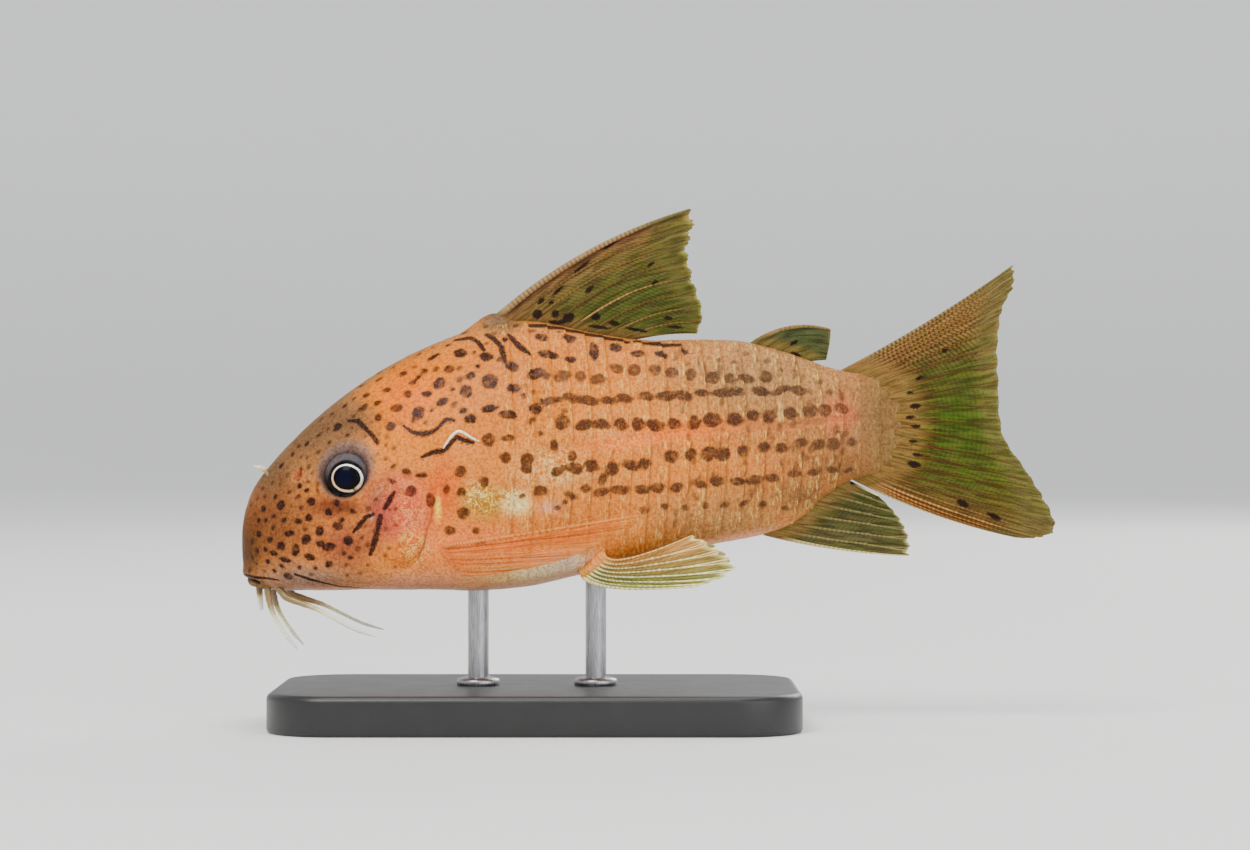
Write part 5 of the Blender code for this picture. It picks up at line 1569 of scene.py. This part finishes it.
def make_web_material(settings):
    """The fins' thin skin: streaked along the rays, denser at its foot, with its marks."""
    shader = Shader(
        "fin web", Roughness=0.5, Specular_IOR_Level=0.06, Coat_Weight=0.02, Coat_Roughness=0.2,
        Subsurface_Weight=0.08, Subsurface_Scale=0.0004, Subsurface_Radius=(1.0, 0.7, 0.4))
    place = shader.place()
    tint = shader.attribute("tint", "Color")
    mark, run, number, cover, bars, comb = (
        shader.attribute(field) for field in ("mark", "run", "number", "cover", "bars", "comb"))
    lengthwise = shader.node("CombineXYZ", {"X": number * 5.0, "Y": run * 0.5})
    streaks = shader.noise(lengthwise, 1.0, 3.0, 0.6, 0.4)
    rust = shader.noise(shader.node("CombineXYZ", {"X": number * 3.0 + 20.0, "Y": run * 0.45}), 1.0, 4.0, 0.7, 0.6)
    clouds = shader.noise(place, 0.8, 3.0, 0.6)
    dots = shader.noise(place, 7.0, 2.0)
    colour = shader.mix((1 - shader.step(streaks, 0.4, 0.5)) * 0.7, tint, (0.5, 0.42, 0.3), "MULTIPLY")
    colour = shader.mix(shader.step(streaks, 0.5, 0.6) * 0.6, colour, (1.7, 1.5, 1.4), "MULTIPLY")
    colour = shader.mix(shader.step(rust, 0.5, 0.62) * 0.5, colour, (1.15, 0.7, 0.56), "MULTIPLY")
    # Greener clouds in the web: partly painted light shining through from behind.
    colour = shader.mix(shader.step(clouds, 0.45, 0.62) * 0.5, colour, (0.78, 1.05, 0.7), "MULTIPLY")
    colour = shader.mix(shader.step(dots, 0.56, 0.68) * 0.5, colour, (0.5, 0.36, 0.3), "MULTIPLY")
    beat = (run * (2 * math.pi / BAR_PITCH) + dots * 3.0 + streaks * 4.0).sine()
    joint = shader.step(beat, 0.0, 0.8)
    beyond = bars * shader.step(run, 1.0, 2.0)
    colour = shader.mix(joint * beyond * 0.85, colour, (0.42, 0.3, 0.2), "MULTIPLY")
    colour = shader.mix((1 - shader.step(beat, -0.9, -0.2)) * beyond * 0.6, colour, (1.6, 1.45, 1.35), "MULTIPLY")
    colour = shader.mix(comb * shader.step(rust, 0.42, 0.54) * 0.7, colour, (0.36, 0.26, 0.18), "MULTIPLY")
    spot = shader.step(mark + (dots - 0.5) * 0.3, -0.1, 0.08)
    colour = shader.mix(spot * 0.94, colour, paint(46, 12, 4))
    alpha = (cover + (clouds - 0.5) * 0.2 + spot * 0.3).at_most(1.0)
    shader.bump(streaks * 0.7 + dots * 0.3, 0.08, 1.0)
    return shader.set(Base_Color=colour, Alpha=alpha)


def make_ray_material(settings):
    """The bony rays, with brown bars between their joints."""
    shader = Shader(
        "fin rays", Roughness=0.48, Specular_IOR_Level=0.1, Coat_Weight=0.04, Coat_Roughness=0.2,
        Subsurface_Weight=0.08, Subsurface_Scale=0.0004, Subsurface_Radius=(1.0, 0.6, 0.4))
    place = shader.place()
    tint = shader.attribute("tint", "Color")
    mark, run, bars, cover = (shader.attribute(field) for field in ("mark", "run", "bars", "cover"))
    grain = shader.noise(place, 6.0, 3.0, 0.6)
    clouds = shader.noise(place, 0.9, 2.0)
    joint = shader.step((run * (2 * math.pi / BAR_PITCH) + grain * 2.0).sine(), -0.2, 0.6)
    dark = joint * shader.step(clouds + bars * 0.3, 0.44, 0.58) * shader.step(run, 0.8, 2.0)
    colour = shader.mix(shader.step(grain, 0.35, 0.7) * 0.5, tint, (0.72, 0.66, 0.6), "MULTIPLY")
    colour = shader.mix(dark * (bars * 0.6 + 0.3), colour, (0.3, 0.19, 0.12), "MULTIPLY")
    spot = shader.step(mark + (grain - 0.5) * 0.2, -0.07, 0.07)
    colour = shader.mix(spot * 0.92, colour, paint(46, 12, 4))
    shader.bump(joint * 0.6 + grain * 0.4, 0.03, 0.8)
    return shader.set(Base_Color=colour, Alpha=cover)


# The feelers of one side, on the model's own lines: name, path as (s, y, h), thickness along it.
FEELERS = [
    ("upper_barbel", [(2.1, 1.75, 0.35), (2.2, 1.9, -0.38), (2.5, 2.1, -1.5), (3.1, 2.3, -2.6),
                      (3.8, 2.45, -3.6), (4.5, 2.5, -4.4)], (0.28, 0.25, 0.18, 0.14, 0.17, 0.05)),
    ("lower_barbel", [(3.0, 2.2, 0.25), (3.6, 2.5, -0.45), (4.6, 2.8, -0.85), (5.9, 3.2, -1.3),
                      (7.2, 3.6, -1.95), (8.9, 4.1, -2.8), (10.6, 4.5, -3.35)],
     (0.3, 0.26, 0.2, 0.14, 0.13, 0.12, 0.04)),
    ("chin_barbel", [(1.3, 0.6, 0.3), (1.35, 0.65, -0.38), (1.4, 0.68, -0.95), (1.5, 0.72, -1.6)],
     (0.2, 0.18, 0.14, 0.06)),
]


def curved(points, count):
    """Points spread evenly along a smooth curve through a few."""
    read = along_margin(points)
    return np.array([read(share) for share in np.linspace(0, 1, count)])


def make_feelers(settings):
    """The feelers at the corners of the mouth and under the chin, and the skin flaps at the nostrils."""
    skin = feeler_material(settings)
    for label, side in (("left", -1), ("right", 1)):
        for name, path, sizes in FEELERS:
            points = mirrored(curved(path, 60), side)
            along = np.linspace(0, 1, 60)
            size = np.interp(along, np.linspace(0, 1, len(sizes)), sizes)
            size = size * (1 + 0.04 * np.sin(along * 70))
            size[-2:] *= (0.75, 0.35)
            line = {"points": points, "thickness": size, "along": along}
            feeler = swept_lines(f"{name}_{label}_skin", [line], 14, skin)
            put_on_body(feeler, "barbel", f"{name}_{label}")
        s, y = NOSE_FLAP_AT
        root = skin_points(np.array(s), np.array(math.radians(24)))
        base = np.array([root[0] + 0.35, side * y, root[2] - 0.5])
        tip = base + np.array([-1.4, side * 0.3, 1.1])
        bend = (base + tip) / 2 + np.array([0.1, 0.0, 0.15])
        along = np.linspace(0, 1, 24)
        line = {"points": curved([base, bend, tip], 24), "along": 0.1 + along * 0.45,
                "thickness": np.interp(along, (0, 0.4, 0.8, 1), (0.26, 0.13, 0.09, 0.03))}
        put_on_body(swept_lines(f"nose_flap_{label}", [line], 12, skin), "barbel")


def feeler_material(settings):
    shader = Shader(
        "feeler skin", Roughness=0.38, Coat_Weight=0.3, Coat_Roughness=0.2, Subsurface_Weight=0.3,
        Subsurface_Scale=0.0006, Subsurface_Radius=(1.0, 0.8, 0.6))
    place = shader.place()
    along = shader.attribute("along")
    grain = shader.noise(place, 5.0, 3.0)
    base = shader.ramp(along + (grain - 0.5) * 0.1, [
        (0.0, paint(140, 116, 80)), (0.3, paint(164, 144, 104)), (0.5, paint(236, 228, 204)),
        (0.9, paint(255, 252, 240))])
    base = shader.mix((1 - shader.step(grain, 0.4, 0.6)) * 0.2, base, paint(160, 136, 100))
    shader.bump(grain, 0.03, 0.6)
    return shader.set(Base_Color=base)


def lathe(name, profile, centre, material, around=64):
    """A turned piece: a profile of (radius, height) in mm spun round an upright axis, closed at both ends."""
    turn = np.linspace(0, 2 * math.pi, around, endpoint=False)
    rings = [np.stack([r * np.cos(turn), r * np.sin(turn), np.full(around, z)], -1) for r, z in profile]
    points = np.concatenate(rings) + centre
    faces = [tuple(face) for face in ring_faces(len(profile), around)]
    faces += [tuple(range(around)), tuple(range((len(profile) - 1) * around, len(profile) * around))]
    return make_mesh(name, points, faces, [material], outwards=True)


def make_stand(settings):
    """The stand: a low foot with rounded corners, and two steel rods in collars up into the belly."""
    low, high = (fish_frame(corner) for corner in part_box("stand_foot"))
    middle, half = (low + high) / 2, (high - low) / 2
    corner, soft = 5.0, 0.5
    layers = [(0.35, 0.0), (0.1, 0.08), (0.0, 0.3), (0.0, 2 * half[2] - soft)]
    layers += [(soft * (1 - math.cos(a)), 2 * half[2] - soft * (1 - math.sin(a)))
               for a in np.linspace(0.2, math.pi / 2, 7)]
    layers += [(soft + 0.8, 2 * half[2])]
    rings = []
    for inset, height in layers:
        for quarter in range(4):
            x, y = ((1, 1), (-1, 1), (-1, -1), (1, -1))[quarter]
            hub = np.array([x * (half[0] - corner), y * (half[1] - corner)])
            for a in np.linspace(0, math.pi / 2, 13):
                way = a + quarter * math.pi / 2
                edge = hub + (corner - inset) * np.array([math.cos(way), math.sin(way)])
                rings.append((middle[0] + edge[0], middle[1] + edge[1], low[2] + height))
    around = 4 * 13
    faces = [tuple(face) for face in ring_faces(len(layers), around)]
    faces += [tuple(range(around)), tuple(range((len(layers) - 1) * around, len(layers) * around))]
    foot = make_mesh("stand_foot_block", rings, faces, [foot_material(settings)], outwards=True)
    put_on_body(new_object("stand_foot_block", foot), "stand_foot", "stand_foot")
    steel = steel_material(settings)
    for label in ("front", "rear"):
        low, high = (fish_frame(corner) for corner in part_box(f"stand_rod_{label}"))
        radius = (high[0] - low[0]) / 2
        at = (low + high) / 2 * (1, 1, 0)
        heights = np.linspace(low[2] - GAP - 0.2, high[2] + 1.2, 40)
        line = {"points": np.stack([np.full(40, at[0]), np.full(40, at[1]), heights], -1),
                "thickness": np.full(40, radius)}
        rod = swept_lines(f"stand_rod_{label}_steel", [line], 32, steel)
        put_on_body(rod, "stand_rod", f"stand_rod_{label}")
        base = low[2] - GAP
        profile = [(radius + 0.02, -0.1), (radius + 0.85, -0.1), (radius + 0.85, 0.35), (radius + 0.75, 0.5),
                   (radius + 0.3, 0.62), (radius + 0.02, 0.62)]
        collar = lathe(f"stand_collar_{label}", profile, at + (0, 0, base), steel)
        put_on_body(new_object(f"stand_collar_{label}", collar), "stand_rod")


def foot_material(settings):
    shader = Shader("satin black foot", Coat_Roughness=0.3)
    place = shader.place()
    peel = shader.noise(place, 1.6, 3.0, 0.55)
    dust = shader.noise(place, 0.35, 5.0, 0.7)
    specks = shader.step(shader.noise(place, 9.0, 2.0), 0.66, 0.74)
    dark = tuple(settings.foot_colour)
    base = shader.mix(shader.step(dust, 0.4, 0.75) * 0.35, dark, paint(62, 60, 60))
    base = shader.mix(specks * 0.25, base, paint(110, 106, 102))
    shader.bump(peel * 0.8 + specks * 0.2, 0.03, 0.35)
    rough = 0.34 + dust * 0.2
    return shader.set(Base_Color=base, Roughness=rough, Coat_Weight=0.2)


def steel_material(settings):
    shader = Shader("brushed steel", Metallic=1.0)
    place = shader.place()
    brushed = shader.noise(shader.stretched(place, (9.0, 9.0, 0.35)), 2.2, 3.0, 0.7)
    smears = shader.noise(place, 0.9, 2.0)
    base = shader.mix(shader.step(brushed, 0.3, 0.7), paint(150, 150, 153), paint(192, 192, 194))
    shader.bump(brushed, 0.02, 0.35)
    return shader.set(Base_Color=base, Roughness=0.2 + brushed * 0.16 + smears * 0.08)


def make_stage(settings):
    """A pale bowl of floor and backdrop, soft lights, and the camera that keeps the photo's framing."""
    profile = [(0.0005, 0.0), (0.3, 0.0), (0.6, 0.0), (0.8, 0.004), (0.95, 0.03), (1.1, 0.1), (1.22, 0.22),
               (1.3, 0.4), (1.34, 0.7), (1.36, 1.4)]
    turn = np.linspace(0, 2 * math.pi, 96, endpoint=False)
    rings = [np.stack([r * np.cos(turn), r * np.sin(turn), np.full(96, z)], -1) for r, z in profile]
    mesh = bpy.data.meshes.new("studio_floor")
    points = np.concatenate(rings)
    mesh.from_pydata(points.tolist(), [], [tuple(int(i) for i in f) for f in ring_faces(len(profile), 96)])
    mesh.materials.append(floor_material(settings))
    mesh.shade_smooth()
    new_object("studio_floor", mesh)
    for name, at, size, power, colour in (
            ("key light", (-0.18, -0.34, 0.48), 0.26, settings.key_power, (1.0, 0.97, 0.93)),
            ("fill light", (0.34, -0.42, 0.1), 0.5, settings.key_power * 0.5, (0.97, 0.98, 1.0)),
            ("top light", (0.04, 0.02, 0.6), 0.4, settings.key_power * 0.6, (1.0, 1.0, 1.0)),
            ("back light", (0.26, 0.46, 0.3), 0.3, settings.key_power * 0.55, (1.0, 0.98, 0.95))):
        light = bpy.data.lights.new(name, "AREA")
        light.size, light.energy, light.color = size, power, colour
        lamp = new_object(name, light)
        lamp.location = at
        lamp.rotation_euler = (Vector((0.0, 0.0, 0.02)) - Vector(at)).to_track_quat("-Z", "Y").to_euler()
    sky = bpy.data.worlds.new("studio sky")
    sky.use_nodes = True
    sky.node_tree.nodes["Background"].inputs["Color"].default_value = (0.93, 0.95, 1.0, 1.0)
    sky.node_tree.nodes["Background"].inputs["Strength"].default_value = settings.sky_strength
    bpy.context.scene.world = sky
    view = bpy.data.cameras.new("photo camera")
    view.lens, view.sensor_width, view.clip_start, view.clip_end = 100.0, 36.0, 0.01, 20.0
    camera = new_object("photo camera", view)
    camera.location = (-0.00192, -0.266, 0.0229)
    camera.rotation_euler = (math.pi / 2, 0.0, 0.0)
    bpy.context.scene.camera = camera


def floor_material(settings):
    """The floor's matt paper. A faint glow of its own evens out the light from below and the backdrop."""
    shader = Shader("pale studio floor", Emission_Strength=0.3)
    place = shader.place()
    cloud = shader.noise(place, 0.01, 3.0)
    base = shader.mix(cloud * 0.3, tuple(settings.floor_colour), (0.66, 0.66, 0.65))
    height = shader.node("SeparateXYZ", {0: place}, "Z")
    glow = shader.mix(shader.step(height, 0.0, 160.0), (0.55, 0.56, 0.58), (1.0, 1.02, 1.05))
    return shader.set(Base_Color=base, Roughness=0.75 + cloud * 0.1, Emission_Color=glow)


class CatfishSkinSettings(bpy.types.PropertyGroup):
    """The skin's finish."""

    mark_strength: FloatProperty(
        name="Mark strength", description="How strongly the dark marks show", default=1.0, min=0.0, max=1.5,
        subtype="FACTOR")
    roughness: FloatProperty(
        name="Roughness", description="How matt the skin is under its wet coat", default=0.5, min=0.05,
        max=0.9, subtype="FACTOR")
    wetness: FloatProperty(
        name="Wetness", description="How much of a clear, wet coat lies on the skin", default=0.08, min=0.0,
        max=1.0, subtype="FACTOR")


class CatfishEyeSettings(bpy.types.PropertyGroup):
    """The eyes' sizes."""

    pupil_radius: FloatProperty(
        name="Pupil radius", description="Radius of the dark pupil", default=0.95 * MM, min=0.2 * MM,
        max=1.2 * MM, precision=5, unit="LENGTH")


class CatfishFinSettings(bpy.types.PropertyGroup):
    """The fins' web."""

    web_thickness: FloatProperty(
        name="Web thickness", description="Thickness of the skin between the rays", default=0.09 * MM,
        min=0.02 * MM, max=0.5 * MM, precision=5, unit="LENGTH")
    web_opacity: FloatProperty(
        name="Web opacity", description="How much the web hides what is behind it", default=1.0, min=0.1,
        max=1.0, subtype="FACTOR")


class CatfishStandSettings(bpy.types.PropertyGroup):
    """The stand's finish."""

    foot_colour: FloatVectorProperty(
        name="Foot colour", description="Colour of the foot's satin lacquer", default=paint(38, 37, 38),
        min=0.0, max=1.0, subtype="COLOR")


class CatfishStageSettings(bpy.types.PropertyGroup):
    """The studio round the fish."""

    floor_colour: FloatVectorProperty(
        name="Floor colour", description="Colour of the floor and backdrop", default=(0.72, 0.72, 0.71),
        min=0.0, max=1.0, subtype="COLOR")
    key_power: FloatProperty(
        name="Key light", description="Power of the main light", default=3.2, min=0.0, max=50.0, unit="POWER")
    sky_strength: FloatProperty(
        name="Sky strength", description="Brightness of the even light all round", default=0.45, min=0.0,
        max=5.0)


class CATFISH_OT_skin(bpy.types.Operator):
    """Makes the seamless skin of the head, trunk and tail"""

    bl_idname = "catfish.make_skin"
    bl_label = "Make skin"

    def execute(self, context):
        make_skin(context.scene.catfish_skin)
        return {"FINISHED"}


class CATFISH_OT_eyes(bpy.types.Operator):
    """Makes the two eyeballs"""

    bl_idname = "catfish.make_eyes"
    bl_label = "Make eyes"

    def execute(self, context):
        material = eye_material(context.scene.catfish_eyes)
        make_eye(-1, "left", material)
        make_eye(1, "right", material)
        return {"FINISHED"}


class CATFISH_OT_fins(bpy.types.Operator):
    """Makes the webs and rays of all the fins"""

    bl_idname = "catfish.make_fins"
    bl_label = "Make fins"

    def execute(self, context):
        settings = context.scene.catfish_fins
        web_material, ray_material = make_web_material(settings), make_ray_material(settings)
        for name in FINS:
            make_fin(name, web_material, ray_material, settings)
        return {"FINISHED"}


class CATFISH_OT_feelers(bpy.types.Operator):
    """Makes the feelers round the mouth and the flaps at the nostrils"""

    bl_idname = "catfish.make_feelers"
    bl_label = "Make feelers"

    def execute(self, context):
        make_feelers(context.scene.catfish_skin)
        return {"FINISHED"}


class CATFISH_OT_stand(bpy.types.Operator):
    """Makes the display stand"""

    bl_idname = "catfish.make_stand"
    bl_label = "Make stand"

    def execute(self, context):
        make_stand(context.scene.catfish_stand)
        return {"FINISHED"}


class CATFISH_OT_stage(bpy.types.Operator):
    """Makes the floor, the lights and the camera"""

    bl_idname = "catfish.make_stage"
    bl_label = "Make stage"

    def execute(self, context):
        make_stage(context.scene.catfish_stage)
        return {"FINISHED"}


SETTINGS = {
    "catfish_skin": CatfishSkinSettings,
    "catfish_eyes": CatfishEyeSettings,
    "catfish_fins": CatfishFinSettings,
    "catfish_stand": CatfishStandSettings,
    "catfish_stage": CatfishStageSettings,
}
OPERATORS = [CATFISH_OT_skin, CATFISH_OT_eyes, CATFISH_OT_fins, CATFISH_OT_feelers, CATFISH_OT_stand,
             CATFISH_OT_stage]


class CATFISH_PT_panel(bpy.types.Panel):
    """Lists the catfish's pieces and their settings"""

    bl_label = "Catfish"
    bl_idname = "CATFISH_PT_panel"
    bl_space_type = "VIEW_3D"
    bl_region_type = "UI"
    bl_category = "Catfish"

    def draw(self, context):
        for operator in OPERATORS:
            self.layout.operator(operator.bl_idname)
        for name, group in SETTINGS.items():
            box = self.layout.box()
            box.label(text=group.__doc__)
            for setting in group.__annotations__:
                box.prop(getattr(context.scene, name), setting)


def register():
    for group in (*SETTINGS.values(), *OPERATORS, CATFISH_PT_panel):
        bpy.utils.register_class(group)
    for name, group in SETTINGS.items():
        setattr(bpy.types.Scene, name, PointerProperty(type=group))


def unregister():
    for name in SETTINGS:
        delattr(bpy.types.Scene, name)
    for group in reversed((*SETTINGS.values(), *OPERATORS, CATFISH_PT_panel)):
        bpy.utils.unregister_class(group)


def main():
    register()
    bpy.ops.catfish.make_stage()
    bpy.ops.catfish.make_stand()
    bpy.ops.catfish.make_skin()
    bpy.ops.catfish.make_eyes()
    bpy.ops.catfish.make_fins()
    bpy.ops.catfish.make_feelers()


if __name__ == "__main__":
    main()
